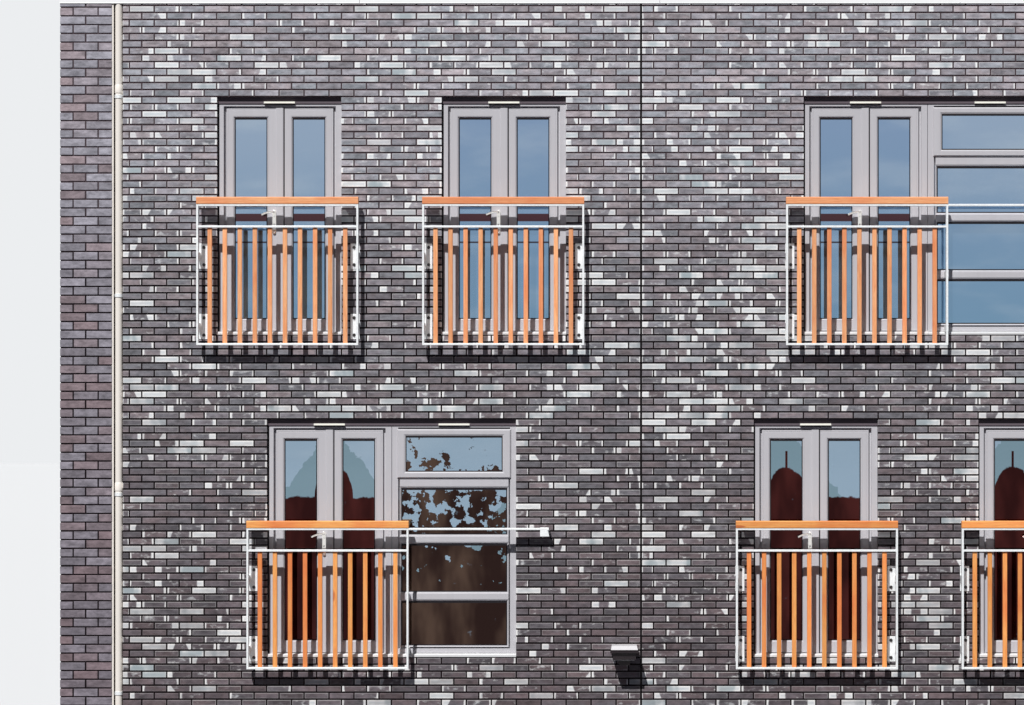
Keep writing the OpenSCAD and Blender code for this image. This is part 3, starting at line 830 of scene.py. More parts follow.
class Shape:
    """Collects the closed solids of one piece, each drawn as seen from its unit."""

    def __init__(self, name):
        self.name = name
        self.bm = bmesh.new()
        self.tint = self.bm.faces.layers.float.new("tint")
        self.draw = np.random.default_rng(len(name))

    def skin(self, unit, rings, closed=False):
        """Joins rings of corners into one solid, capped at both ends unless it closes on itself."""
        rings = [[self.bm.verts.new(unit.outside(Vector(p)) if unit else p) for p in ring] for ring in rings]
        pairs = list(zip(rings, rings[1:]))
        if closed:
            pairs.append((rings[-1], rings[0]))
        faces = []
        for near, far in pairs:
            for i in range(len(near)):
                j = (i + 1) % len(near)
                faces.append(self.bm.faces.new((near[i], near[j], far[j], far[i])))
        if not closed:
            faces.append(self.bm.faces.new(list(reversed(rings[0]))))
            faces.append(self.bm.faces.new(rings[-1]))
        number = self.draw.random()
        for face in faces:
            face[self.tint] = number

    def box(self, unit, low, high):
        x, y, z = zip(low, high)
        self.skin(unit, [[(x[0], d, z[0]), (x[1], d, z[0]), (x[1], d, z[1]), (x[0], d, z[1])] for d in y])

    def bar(self, unit, left, right, outline):
        """A bar from left to right, whose outline is a list of depths and heights."""
        self.skin(unit, [[(x, y, z) for y, z in outline] for x in (left, right)])

    def frame(self, unit, outer, inner, profile, open_foot=False):
        """A frame with mitred corners. Its profile points lie inward of the outer edge, or outward of
        the inner edge, and each has its own depth."""
        rings = []
        for side_x, side_z in ((0, 0), (0, 1), (1, 1), (1, 0)):
            ring = []
            for edge, inset, deep in profile:
                corner, way = (outer, inset) if edge == "outer" else (inner, -inset)
                x = corner[side_x][0] + way * (1 - 2 * side_x)
                z = corner[side_z][1] + way * (1 - 2 * side_z)
                if open_foot and side_z == 0:
                    z = outer[0][1]
                ring.append((x, deep, z))
            rings.append(ring)
        self.skin(unit, rings, not open_foot)

    def rod(self, unit, path, radius, sides=16):
        """A round rod through the points of a path."""
        path = [Vector(p) for p in path]
        spokes = [Vector((math.cos(a), math.sin(a), 0)) for a in circle(sides)]
        rings = []
        for i, point in enumerate(path):
            ahead = (path[min(i + 1, len(path) - 1)] - path[max(i - 1, 0)]).normalized()
            turn = ahead.to_track_quat("Z", "Y")
            rings.append([point + turn @ spoke * radius for spoke in spokes])
        self.skin(unit, rings)

    def turned(self, x, y, levels, sides=32):
        """A round solid about an upright line, from pairs of height and radius."""
        self.skin(None, [[(x + r * math.cos(a), y + r * math.sin(a), z) for a in circle(sides)]
                         for z, r in levels])

    def finish(self, slot, finish, *nodes, bevel=0.0, smooth=False):
        """Turns what was collected into a piece of the building."""
        mesh = mesh_of(self.bm, self.name)
        mesh.materials.append(finish)
        if smooth:
            mesh.shade_smooth()
            mesh.set_sharp_from_angle(angle=math.radians(35))
        piece = shown(self.name, mesh)
        if bevel:
            modifier = piece.modifiers.new("worn edges", "BEVEL")
            modifier.width = bevel
            modifier.segments = 2
            modifier.limit_method = "ANGLE"
            modifier.angle_limit = math.radians(30)
        return finish_piece(piece, slot, *nodes)


def span(low, high, grow=0.0):
    """The two corners of a box as seen from the front, grown on all sides."""
    return (low.x - grow, low.z - grow), (high.x + grow, high.z + grow)


# %% [markdown]
# ## Metal, rubber and painted finishes
# The window bars are powder-coated: one even grey with a very fine ripple, a little dust and faint
# streaks where rain runs down. The other finishes follow the same pattern with their own colour.

# %% Coated metal
def coated(base, roughness, streaks=0.10, dust=0.05, metal=0.0, shine=0.25):
    """Builds the inputs of a coated metal with rain streaks, dust and a fine ripple."""
    def build(graph, place):
        rain = graph.streaks(place, (26.0, 26.0, 0.9), 4.0)
        speck = graph.noise(place, 320.0, 2.0)
        colour = graph.vary(graph.vary(base, streaks, rain), dust, speck)
        return {"Base Color": graph.vary(colour, streaks, graph.noise(place, 2.3, 3.0)),
                "Metallic": metal, "Specular IOR Level": shine,
                "Roughness": roughness + (rain - 0.5) * 0.12 + (speck - 0.5) * 0.05,
                "Normal": graph.bump(graph.noise(place, 700.0, 1.0), 0.12, 0.0004)}
    return build


def galvanised(graph, place):
    """Zinc on steel: pale grey flakes with a soft sheen."""
    flakes = graph.add("ShaderNodeTexVoronoi", None, {"Vector": place, "Scale": 95.0}, "Color")
    flake = graph.add("ShaderNodeSeparateColor", None, {0: flakes})
    cloud = graph.noise(place, 13.0, 4.0)
    return {"Base Color": graph.vary(graph.vary(tone(240, 242, 242), 0.10, flake), 0.14, cloud),
            "Metallic": 0.25, "Roughness": 0.46 + (flake - 0.5) * 0.10 + (cloud - 0.5) * 0.10,
            "Normal": graph.bump(graph.noise(place, 240.0, 3.0), 0.15, 0.0005)}


def rubber(graph, place):
    return {"Base Color": graph.blend(graph.noise(place, 90.0), tone(16, 13, 17), tone(34, 30, 34)),
            "Roughness": 0.75, "Specular IOR Level": DULL,
            "Normal": graph.bump(graph.noise(place, 500.0), 0.2, 0.0004)}


frame_finish = surface("frame_grey", coated(tone(190, 188, 192), 0.42))
sill_finish = surface("sill_pale", coated(tone(214, 214, 214), 0.40, 0.14))
head_finish = surface("head_dark", coated(tone(96, 87, 93), 0.50, 0.16, shine=0.12))
vent_finish = surface("vent_cream", coated(tone(246, 244, 232), 0.38))
handle_finish = surface("handle_cream", coated(tone(248, 244, 238), 0.16, 0.04, 0.03, 0.9, 0.5))
steel_finish = surface("galvanised", galvanised)
rubber_finish = surface("rubber", rubber)
bolt_finish = surface("dark_bolt", coated(tone(66, 62, 62), 0.38, 0.20, 0.20, 0.6))

# %% [markdown]
# ## Window frames
# Each frame is an extruded bar mitred at the corners: a flat front, a rebate of about a centimetre
# that the leaf closes into, and a body behind. Door frames stand on the sill, so they have only
# three sides; the frames of the side windows have four. Two coupled frames show a fine groove
# between them.

# %% Outer frames
CENTRED = 0.3
strip_low, strip_high = parts("head_strips", door_units[0], CENTRED)[0]
sill_low, sill_high = parts("sills", door_units[0], CENTRED)[0]
FRAME_W = 0.070
SILL_H = sill_high.z
FRAME_FRONT, FRAME_BACK = strip_low.y, strip_high.y
FRAME_TOP = strip_low.z
OPENING_HALF = strip_high.x
HEAD_H = FRAME_TOP - parts("frame_rails", door_units[0], CENTRED)[0][0].z
REBATE_W, REBATE_D = 0.014, 0.034
HEAD_LAP = 0.005
COUPLING_GAP = 0.0015
SOFT = 0.003

# The profile runs from the back over the flat front to the rebate along the inner edge.
outer_profile = [
    ("outer", COUPLING_GAP, FRAME_BACK), ("outer", COUPLING_GAP, FRAME_FRONT + SOFT),
    ("outer", COUPLING_GAP + SOFT, FRAME_FRONT), ("inner", REBATE_W, FRAME_FRONT),
    ("inner", REBATE_W, FRAME_FRONT + REBATE_D), ("inner", 0.0, FRAME_FRONT + REBATE_D),
    ("inner", 0.0, FRAME_BACK)]
outer_edge = (-OPENING_HALF, SILL_H), (OPENING_HALF, FRAME_TOP)
inner_x, inner_top = OPENING_HALF - FRAME_W, FRAME_TOP - HEAD_H
shape = Shape("window_frames")
for unit in door_units + entrance_units:
    inner_edge = (-inner_x, SILL_H), (inner_x, inner_top - HEAD_LAP)
    shape.frame(unit, outer_edge, inner_edge, outer_profile, True)
for unit in side_units:
    foot = min(parts("frame_rails", unit, CENTRED), key=lambda box: box[0].z)
    shape.frame(unit, outer_edge, ((-inner_x, foot[1].z), (inner_x, inner_top)), outer_profile)
shape.finish("frame_grey", frame_finish, "frame_jambs", "frame_rails", bevel=0.0012)

# %% [markdown]
# ## Cross bars of the side windows
# The panes of a side window stand one above the other, with level bars between them. A glazing bead
# slopes from the bar to the glass on all sides of each pane, which the eye reads as a second thin line.

# %% Cross bars and beads
BEAD_W, BEAD_DEEP = 0.013, 0.009
BAR_LIP = 0.004
BEHIND_FRONT = 0.004

shape = Shape("cross_bars")
for unit, low, high in each("transoms", side_units, CENTRED):
    shape.bar(unit, low.x, high.x, [
        (high.y, low.z), (FRAME_FRONT + SOFT, low.z), (FRAME_FRONT, low.z + BAR_LIP),
        (FRAME_FRONT, high.z - BAR_LIP), (FRAME_FRONT + SOFT, high.z), (high.y, high.z)])
shape.finish("frame_grey", frame_finish, "transoms", bevel=0.001)

shape = Shape("fixed_pane_beads")
for unit, low, high in each("side_glass", side_units, CENTRED):
    front, back = FRAME_FRONT + BEHIND_FRONT, low.y - 0.0005
    shape.frame(unit, span(low, high), span(low, high), [
        ("inner", 0.001, back), ("inner", 0.001, front), ("inner", -SOFT, front - 0.001),
        ("inner", -BEAD_W, front + BEAD_DEEP), ("inner", -BEAD_W, back)])
shape.finish("frame_grey", frame_finish)

# %% [markdown]
# ## Door leaves
# A leaf is four wide bars mitred together. A gap with a dark bottom runs round it. Seen closely, its
# front has a fine groove along the outer edge, a flat middle and a sloping glazing bead.

# %% Leaf frames
EDGE_GAP, EDGE_DEEP = 0.006, 0.024
GROOVE_IN, GROOVE = EDGE_GAP + 0.014, 0.002


def leaf_profile(front, back):
    """From the back of the outer edge round the front to the back of the inner edge."""
    return [("outer", 0.0, back), ("outer", 0.0, front + EDGE_DEEP), ("outer", EDGE_GAP, front + EDGE_DEEP),
            ("outer", EDGE_GAP, front + SOFT), ("outer", EDGE_GAP + SOFT, front),
            ("outer", GROOVE_IN, front), ("outer", GROOVE_IN + GROOVE, front + GROOVE),
            ("outer", GROOVE_IN + 2 * GROOVE, front),
            ("inner", BEAD_W + 0.002, front), ("inner", BEAD_W, front + 0.002),
            ("inner", BEAD_W, front - 0.0005), ("inner", BEAD_W - SOFT, front - 0.001),
            ("inner", 0.0, front + BEAD_DEEP), ("inner", 0.0, back)]


shape = Shape("leaf_frames")
for unit in door_units:
    leaves = [box for box in parts("door_leaves", unit) if abs(box[1].x + box[0].x) < 1.0]
    for (low, high), (glass_low, glass_high) in zip(leaves, parts("door_glass", unit, 0.5)):
        shape.frame(unit, span(low, high), span(glass_low, glass_high), leaf_profile(low.y, high.y))
shape.finish("frame_grey", frame_finish, "door_leaves", bevel=0.0008)

# %% [markdown]
# ## Cover strips and sashes
# A slim strip with rounded edges covers the joint between two leaves. The top-hung sash of a side
# window lies in front of its frame, with sloping outer edges and mitred corners.

# %% Strips and sashes
STRIP_EDGE, STRIP_SOFT = 0.004, 0.006
SASH_SLOPE, SASH_BEAD = 0.011, 0.006

shape = Shape("cover_strips_rounded")
for unit, low, high in each("cover_strips", door_units, 0.2):
    outline = [(low.x, high.y), (low.x, low.y + STRIP_EDGE), (low.x + STRIP_SOFT, low.y),
               (high.x - STRIP_SOFT, low.y), (high.x, low.y + STRIP_EDGE), (high.x, high.y)]
    shape.skin(unit, [[(x, y, z) for x, y in outline] for z in (low.z + 0.004, high.z - 0.004)])
shape.finish("frame_grey", frame_finish, "cover_strips", bevel=0.001)

shape = Shape("sash_frames")
for unit, low, high in each("vent_sashes", side_units, CENTRED):
    glass_low, glass_high = parts("vent_glass", unit, CENTRED)[0]
    shape.frame(unit, span(low, high), span(glass_low, glass_high), [
        ("outer", 0.0, high.y), ("outer", 0.0, high.y - SOFT), ("outer", SASH_SLOPE, low.y),
        ("inner", BEAD_W + 0.002, low.y), ("inner", BEAD_W, low.y + 0.002), ("inner", BEAD_W, low.y),
        ("inner", 0.0, low.y + SASH_BEAD), ("inner", 0.0, high.y)])
shape.finish("frame_grey", frame_finish, "vent_sashes", bevel=0.0008)

# %% [markdown]
# ## Gaskets and seals
# A black gasket runs round every pane and shows as the dark line beside the glass. A second black
# band at the top of each pane is painted shade, for the shaded underside of the bar above and its
# reflection. A rubber lip closes the joint beside each cover strip, and is wide enough to be the
# strip's painted shadow too. At the left of a frame where no other frame is coupled to it, a wide
# dark strip is both the seal against the brick jamb and the painted shadow of that jamb.

# %% Gaskets
GASKET_W = 0.008
LIP_AND_SHADOW_W = 0.009
SEAL_AND_SHADOW_W = 0.017
GLASS_NODES = ("door_glass", "side_glass", "vent_glass", "entrance_glass")

shape = Shape("gaskets")
for unit in all_units:
    for node in GLASS_NODES:
        for low, high in parts(node, unit, 0.5):
            edge = span(low, high, -BEAD_W) if node == "side_glass" else span(low, high)
            shape.frame(unit, edge, edge, [
                ("inner", 0.0, low.y + 0.002), ("inner", 0.0, low.y - 0.004),
                ("inner", -GASKET_W, low.y - 0.003), ("inner", -GASKET_W - 0.001, low.y + 0.002)])
            # Painted shade: a second black band at the top of the pane, for the shaded underside of the bar
            # above and its reflection.
            (left, _), (right, top) = edge
            shape.box(unit, (left + GASKET_W, low.y - 0.003, top - 2 * GASKET_W),
                      (right - GASKET_W, low.y + 0.001, top - GASKET_W))
# The rubber lip is made wide to be the cover strip's painted shadow as well.
for unit, low, high in each("cover_strips", door_units, 0.2):
    shape.box(unit, (high.x - 0.001, high.y - 0.003, low.z), (high.x + LIP_AND_SHADOW_W, high.y + 0.001, high.z))
shape.finish("head_dark", rubber_finish)


# %% Seals and painted jamb shadows beside the frames
def coupled_at_left(unit):
    """True where another frame stands directly at the left of this one."""
    edge = unit.outside(Vector((-OPENING_HALF, 0, 0)))
    rights = [other.outside(Vector((OPENING_HALF, 0, 0))) for other in door_units + side_units]
    return any((right - edge).length < 0.02 for right in rights)


# A seal at the left of each lone frame, made wide as the painted shadow of the brick jamb.
shape = Shape("perimeter_seals")
for unit in all_units:
    if not coupled_at_left(unit):
        shape.box(unit, (-OPENING_HALF, FRAME_FRONT - 0.004, SILL_H + 0.002),
                  (-OPENING_HALF + SEAL_AND_SHADOW_W, FRAME_FRONT + 0.002, FRAME_TOP))
shape.finish("head_dark", rubber_finish)

# %% [markdown]
# ## Glass
# From outside, coated panes act as tinted mirrors. On the top storey they show open sky with soft
# cloud. Lower down they show sky above a dark red-brown town: level roofs, round domes at even
# distances with a spire on each, and paler houses further off. In the wide windows a strong noise
# makes the same skyline very ragged. All of it is painted in the material from the place of a point.

# %% Sky and town in the panes
SKY_TOP, SKY_LOW, CLOUD = tone(134, 158, 188), tone(120, 154, 181), tone(184, 198, 210)
TEAL_SKY, HOUSE = tone(150, 172, 190), tone(116, 142, 152)
DARK_TOWN, RED_TOWN = tone(44, 16, 16), tone(72, 32, 30)
BROWN_TOWN = tone(44, 29, 26), tone(84, 66, 56)
TOP_STOREY = (5.4, 5.6)
SKYLINE_Z, SPIRE_Z, SPIRE_HALF = 4.37, 4.78, 0.010
DOME_X, DOME_SPACING = 1.12, 1.0
DOME_HALF, DOME_RISE = 0.17, 0.27
FAR_Z, FAR_FALL = SPIRE_Z + 0.22, 1.3
BLOCK_Z, BLOCK_FROM, BLOCK_TO = SKYLINE_Z + 0.095, 0.34, 0.455


def open_sky(graph, place, across, up, top_storey):
    """Sky that is teal low down and bluer above, with soft cloud."""
    clouds = graph.noise(graph.stretched(place, (0.9, 0.9, 2.6)), 1.1, 5.0, 0.5).step(0.44, 0.70)
    sky = graph.blend((up - 5.9) * 0.55, SKY_LOW, SKY_TOP)
    sky = graph.blend(1.0 - top_storey, sky, TEAL_SKY)
    hazy = across.absolute().step(2.2, 2.7) * up.step(6.5, 7.6)
    return graph.blend(clouds * 0.26 + hazy * 0.34, sky, CLOUD)


def window_glass(graph, place, ragged=0.10, town_tones=(DARK_TOWN, RED_TOWN)):
    """A mirror of the sky above the town. The higher ragged is, the more the skyline breaks up."""
    across, _, up = graph.axes(place)
    top_storey = up.step(*TOP_STOREY)
    below = 1.0 - top_storey
    sky = open_sky(graph, place, across, up, top_storey)
    aside = (across - DOME_X).math("PINGPONG", DOME_SPACING)
    round_part = (1.0 - (aside / DOME_HALF) * (aside / DOME_HALF)).max(0.0)
    dome = round_part.math("SQRT") * DOME_RISE
    twigs = graph.noise(place, 9.0, 4.0, 0.6) - 0.5
    skyline = SKYLINE_Z + dome + twigs * ragged
    spire = (aside < SPIRE_HALF) * (up < SPIRE_Z)
    town = (1.0 - (up - skyline).step(-0.008, 0.008)).max(spire) * below
    patch = graph.noise(graph.stretched(place, (2.2, 2.2, 0.8)), 1.4, 3.0).step(0.40, 0.66)
    gleam = graph.noise(place, 6.5, 4.0, 0.65).step(0.66, 0.74)
    dark = graph.blend(gleam * 0.30, graph.blend(patch, *town_tones), TEAL_SKY)
    far = (up < FAR_Z - aside * FAR_FALL + twigs * 0.25) * below
    block = (up < BLOCK_Z) * (aside > BLOCK_FROM) * (aside < BLOCK_TO) * below
    sky = graph.blend(far.max(block) * 0.8, sky, HOUSE)
    return {"Base Color": graph.blend(town, sky, dark), "Metallic": 0.93,
            "Roughness": 0.045 + (graph.noise(place, 30.0) - 0.5) * 0.02,
            "Normal": graph.bump(graph.streaks(place, (0.8, 0.8, 0.5), 1.0), 0.10, 0.02)}


# %% [markdown]
# The panes of the doors also mirror the dark backs of the handrail and of the flat below it. On the
# top storey, where they lie against the sky, the photograph shows them as two level bands.

# %% Glass of doors and of windows
MIRRORED = ((6.844, (0.031, 0.036), 0.94, RED_TOWN), (6.625, (0.006, 0.009), 0.85, DARK_TOWN))


def glass_behind_rail(graph, place):
    """The same glass, with a level band for each mirrored bar."""
    inputs = window_glass(graph, place)
    up = graph.axes(place)[2]
    for height, edge, share, colour in MIRRORED:
        band = 1.0 - (up - height).absolute().step(*edge)
        inputs["Base Color"] = graph.blend(band * share, inputs["Base Color"], colour)
    return inputs


def side_window_glass(graph, place):
    """Glass of the wide windows, whose skyline is very ragged and browner."""
    return window_glass(graph, place, 4.2, BROWN_TOWN)


glass_finish = surface("window_glass", side_window_glass)
rail_glass_finish = surface("glass_behind_rail", glass_behind_rail)
for node in GLASS_NODES:
    dress(node, rail_glass_finish if node == "door_glass" else glass_finish)

# %% [markdown]
# ## Head strips, vents and sills
# Above each frame lies a dark strip that carries a cream trickle vent: a canopy with a sloping top
# and closed ends, over a dark slot that is also the canopy's painted shadow. Below lies a pressed
# metal sill with a rounded nose and a small upstand at each end. The nose casts the thin dark line
# under every window.

# %% Head strips
STRIP_OUT = 0.008
FOLD_H = 0.010

front, back, foot, top = strip_low.y - STRIP_OUT, strip_high.y, strip_low.z, strip_high.z
outline = [(back, foot), (front, foot), (front, foot + FOLD_H), (front + SOFT, foot + FOLD_H + 0.002),
           (front + SOFT, top), (back, top)]
shape = Shape("head_strips_folded")
for unit in all_units:
    shape.bar(unit, strip_low.x, strip_high.x, outline)
shape.finish("head_dark", head_finish, "head_strips")

# %% Trickle vents
VENT_OUT, VENT_SLOPE, VENT_END = 0.002, 0.004, 0.002
SLOT_AND_SHADOW_H = 0.012

shape = Shape("vent_canopies")
for unit, low, high in each("trickle_vents", door_units + side_units, CENTRED):
    front = low.y - VENT_OUT
    shape.bar(unit, low.x + VENT_END, high.x - VENT_END, [
        (high.y, low.z), (front + 0.002, low.z), (front, low.z + 0.002), (front, high.z - VENT_SLOPE),
        (front + VENT_SLOPE, high.z), (high.y, high.z)])
    for x in (low.x, high.x - VENT_END):
        shape.box(unit, (x, front + 0.001, low.z), (x + VENT_END, high.y, high.z - 0.001))
shape.finish("vent_cream", vent_finish, "trickle_vents", bevel=0.0008)

# Painted shadow: a dark slot under each canopy, which stands for the vent's opening and its shadow.
shape = Shape("vent_slots")
for unit, low, high in each("trickle_vents", door_units + side_units, CENTRED):
    shape.box(unit, (low.x + 0.004, FRAME_FRONT - STRIP_OUT - 0.002, low.z - SLOT_AND_SHADOW_H),
              (high.x - 0.004, FRAME_FRONT + 0.002, low.z + 0.001))
shape.finish("head_dark", rubber_finish)

# %% Sills
NOSE, SILL_FALL = 0.006, 0.004
UPSTAND_W, UPSTAND_RISE = 0.004, 0.009

low, high = sill_low, sill_high
outline = [(high.y, low.z), (low.y + 0.004, low.z), (low.y, low.z + 0.004),
           (low.y, high.z - SILL_FALL - NOSE), (low.y + NOSE, high.z - SILL_FALL),
           (FRAME_FRONT, high.z), (high.y, high.z)]
shape = Shape("sills_pressed")
for unit in all_units:
    shape.bar(unit, low.x + 0.001, high.x - 0.001, outline)
    for x in (low.x + 0.0005, high.x - 0.0005 - UPSTAND_W):
        shape.box(unit, (x, 0.002, low.z + 0.002),
                  (x + UPSTAND_W, FRAME_FRONT - 0.001, high.z + UPSTAND_RISE))
shape.finish("sill_pale", sill_finish, "sills", bevel=0.0008)

# %% [markdown]
# ## Door handles
# A slim back plate with rounded ends carries a round rose and a lever that comes forward, turns and
# droops a little towards its tip. Below it sits the round face of a lock cylinder. Two screws hold
# the plate.

# %% Handles
PLATE_W, PLATE_DEEP = 0.032, 0.012
LEVER_R, LEVER_DOWN, LEVER_DROOP = 0.0098, 0.019, 0.026
ELBOW_X, ELBOW_Y = 0.016, 0.020
HALF_ROUND = [math.pi * k / 8 for k in range(9)]

shape, screws = Shape("handles"), Shape("handle_locks")
for unit, low, high in each("door_handles", door_units + entrance_units):
    radius = PLATE_W / 2
    middle = high.x - radius
    front = high.y - PLATE_DEEP
    lever_z = high.z - LEVER_DOWN
    top = [(middle + radius * math.cos(a), high.z - radius + radius * math.sin(a)) for a in HALF_ROUND]
    foot = [(middle - radius * math.cos(a), low.z + radius - radius * math.sin(a)) for a in HALF_ROUND]
    shape.skin(unit, [[(x, y, z) for x, z in top + foot] for y in (high.y, front)])
    rose = [(middle, front + 0.001, lever_z), (middle, front - 0.010, lever_z)]
    shape.rod(unit, rose, radius * 0.92, 24)
    reach = low.y + 0.0095
    path = [(middle, front, lever_z), (middle, reach + ELBOW_Y, lever_z)]
    path += [(middle - ELBOW_X * (1 - math.cos(a)), reach + ELBOW_Y - ELBOW_Y * math.sin(a), lever_z)
             for a in (math.pi / 6, math.pi / 3, math.pi / 2)]
    run = middle - ELBOW_X - low.x
    path += [(middle - ELBOW_X - run * t, reach, lever_z - LEVER_DROOP * t * t)
             for t in (0.25, 0.5, 0.75, 1.0)]
    shape.rod(unit, path, LEVER_R)
    lock_z = (low.z + lever_z) / 2 - 0.012
    screws.rod(unit, [(middle, front + 0.001, lock_z), (middle, front - 0.004, lock_z)], 0.0085, 20)
    for z in (low.z + 0.016, lever_z - 0.036):
        screws.rod(unit, [(middle, front + 0.001, z), (middle, front - 0.0015, z)], 0.0042, 12)
shape.finish("handle_cream", handle_finish, "door_handles", bevel=0.0008, smooth=True)
screws.finish("galvanised", steel_finish, smooth=True)

# %% [markdown]
# ## Timber
# The rails and slats are planed softwood under a clear orange oil. The grain runs along each board,
# so the noise is stretched that way, with dark rings bent round a few knots and a tone of its own
# for every board. The boards of the top storey are paler.

# %% Timber material
PALE_WOOD, MID_WOOD, DEEP_WOOD = tone(254, 194, 144), tone(242, 160, 106), tone(196, 104, 58)
OILY_PALE, OILY_MID, RED_WOOD = tone(250, 182, 108), tone(244, 154, 80), tone(230, 118, 70)
PALER_STOREY_AT = (5.0, 5.6)


def timber(upright):
    """Builds the wood with its grain along Z for slats, or along X for rails."""
    squeeze = (1.0, 1.0, 0.06) if upright else (0.06, 1.0, 1.0)
    knot_scale = (4.2, 0.0, 1.6) if upright else (1.6, 0.0, 7.0)

    def build(graph, place):
        number = graph.number("tint")
        aside = graph.add("ShaderNodeCombineXYZ", None, {0: number * 7.0, 2: number * 3.0})
        shifted = graph.add("ShaderNodeVectorMath", {"operation": "ADD"}, {
            0: graph.stretched(place, squeeze), 1: aside})
        rings = (graph.noise(shifted, 9.0, 2.0) * 70.0).math("SINE") * 0.5 + 0.5
        fibre = graph.noise(shifted, 220.0, 3.0, 0.7)
        knots = graph.add("ShaderNodeTexVoronoi", None, {
            "Vector": graph.stretched(place, knot_scale), "Scale": 1.0}, "Distance")
        knot = 1.0 - knots.step(0.05, 0.11)
        paler_storey = graph.axes(place)[2].step(*PALER_STOREY_AT)
        pale, middle = graph.blend(paler_storey, OILY_PALE, PALE_WOOD), graph.blend(paler_storey, OILY_MID, MID_WOOD)
        second = (number * 9.0).fraction()
        patch = graph.noise(place, 2.1, 3.0)
        colour = graph.blend(rings * 0.45 + fibre * 0.45, pale, middle)
        reddish = ((second - 0.45).max(0.0) + (patch - 0.48).max(0.0) * 2.6).min(0.7)
        colour = graph.blend(reddish * (1.0 - paler_storey * 0.3), colour, RED_WOOD)
        colour = graph.blend((fibre - 0.42).max(0.0) * 1.5 + knot * 0.75, colour, DEEP_WOOD)
        return {"Base Color": graph.vary(colour, 0.30, number),
                "Roughness": 0.46 + fibre * 0.22, "Specular IOR Level": 0.3,
                "Normal": graph.bump(fibre + rings * 0.4, 0.30, 0.0008)}
    return build


slat_finish = surface("timber_slats", timber(True))
rail_finish = surface("timber_rails", timber(False))

# %% [markdown]
# ## Guard rails
# A guard rail is a frame of steel flats with ten upright boards between its second and third flats
# and a broad timber handrail on top. The boards repeat, so a Geometry Nodes tree sets them on points
# that carry a tone of their own; the bolts of the wall plates come from the same tree.

# %% Boards and bolts on points
def chamfered_box(name, size, cut):
    """A board of real size with all its edges chamfered."""
    bm = bmesh.new()
    bmesh.ops.create_cube(bm, size=1.0)
    for vert in bm.verts:
        vert.co = Vector(vert.co[i] * size[i] for i in range(3))
    bmesh.ops.bevel(bm, geom=bm.edges[:], offset=cut, segments=1, affect="EDGES")
    return prototype(bm, name)


def bolt_prototype(name, across_flats, height, washer=0.002, soft=0.0008):
    """A hexagon head on a round washer, pointing out of the wall."""
    bm = bmesh.new()
    for sides, radius, near, far in ((12, across_flats * 0.78, 0.0, -washer),
                                     (6, across_flats * 0.577, -washer, -height)):
        rings = []
        for y, r in ((near, radius), (far + soft, radius), (far, radius - soft)):
            rings.append([bm.verts.new((r * math.cos(a), y, r * math.sin(a))) for a in circle(sides)])
        for one, two in zip(rings, rings[1:]):
            for i in range(sides):
                bm.faces.new((one[i], one[(i + 1) % sides], two[(i + 1) % sides], two[i]))
        bm.faces.new(list(reversed(rings[0])))
        bm.faces.new(rings[-1])
    return prototype(bm, name)


def copies_tree(name):
    """Copies one object to every point, keeping the points' numbers, and adds a slight random lean."""
    tree, graph, given = new_tree(name, {"Source": "Object", "Lean": "Float", "Material": "Material"})
    copies = object_copies(graph, given["Geometry"], given["Source"])
    lean = random_vector(graph, given["Lean"])
    turned = graph.add("GeometryNodeRotateInstances", None, {"Instances": copies, "Rotation": lean})
    close_tree(graph, turned, given["Material"])
    return tree


def set_copies(name, source, centres, turns, lean, finish, slot, *nodes):
    count = len(centres)
    columns = {"size": ("FLOAT_VECTOR", np.ones((count, 3))), "turn": ("FLOAT", turns),
               "tint": ("FLOAT", rng.random(count))}
    piece = run_tree(name, points_mesh(name, centres, columns), set_tree, {
        "Source": source, "Lean": lean, "Material": finish})
    return finish_piece(piece, slot, *nodes)


set_tree = copies_tree("set_copies")

# %% Slats
SLAT_LEAN, SLAT_CHAMFER, SLAT_PLAY = 0.0004, 0.003, Vector((0, 0, 0.001))

low, high = parts("guard_slats", guard_units[0])[0]
board = chamfered_box("slat_board", high - low - SLAT_PLAY, SLAT_CHAMFER)
centres, turns = [], []
for unit, low, high in each("guard_slats", guard_units):
    centres.append(unit.outside((low + high) / 2))
    turns.append(unit.turn)
set_copies("slats", board, centres, turns, SLAT_LEAN, slat_finish, "timber", "guard_slats")

# %% Handrails
ROUND = 0.007

shape = Shape("handrails_rounded")
for unit, low, high in each("handrails", guard_units):
    shape.bar(unit, low.x, high.x, [
        (low.y, low.z + SOFT), (low.y, high.z - ROUND), (low.y + ROUND * 0.3, high.z - ROUND * 0.3),
        (low.y + ROUND, high.z), (high.y - ROUND, high.z), (high.y - ROUND * 0.3, high.z - ROUND * 0.3),
        (high.y, high.z - ROUND), (high.y, low.z + SOFT), (high.y - SOFT, low.z), (low.y + SOFT, low.z)])
shape.finish("timber", rail_finish, "handrails", bevel=0.0015)

# %% [markdown]
# The steel is plain flat bar. Each wall plate is held by two bolts and carries the post on a short
# arm. In front of a side window two bars run on from the guard rail to plates of their own.

# %% Steel frame and bars
PLATE_T = 0.010
ARM_HALF, BOLT_IN = 0.030, 0.035
flat_low, flat_high = parts("guard_flats", guard_units[0])[0]
flat_h = flat_high.z - flat_low.z
front_face, rear_face = (Unit(Vector((0, y, 0)), Vector((0, y, 0)), 0.0) for y in (-FACE, FACE))


def runs_of(node):
    """Boxes of a node's solids as seen from the front or the rear face that they stand on."""
    faces = [front_face if low.y < 0 else rear_face for low, high in solids(node)]
    return [(face, *face.inside(*box)) for face, box in zip(faces, solids(node))]


shape = Shape("guard_steel")
for unit in guard_units:
    for node in ("guard_posts", "guard_flats"):
        for low, high in parts(node, unit):
            shape.box(unit, low, high)
shape.finish("galvanised", steel_finish, "guard_posts", "guard_flats", bevel=0.0015)

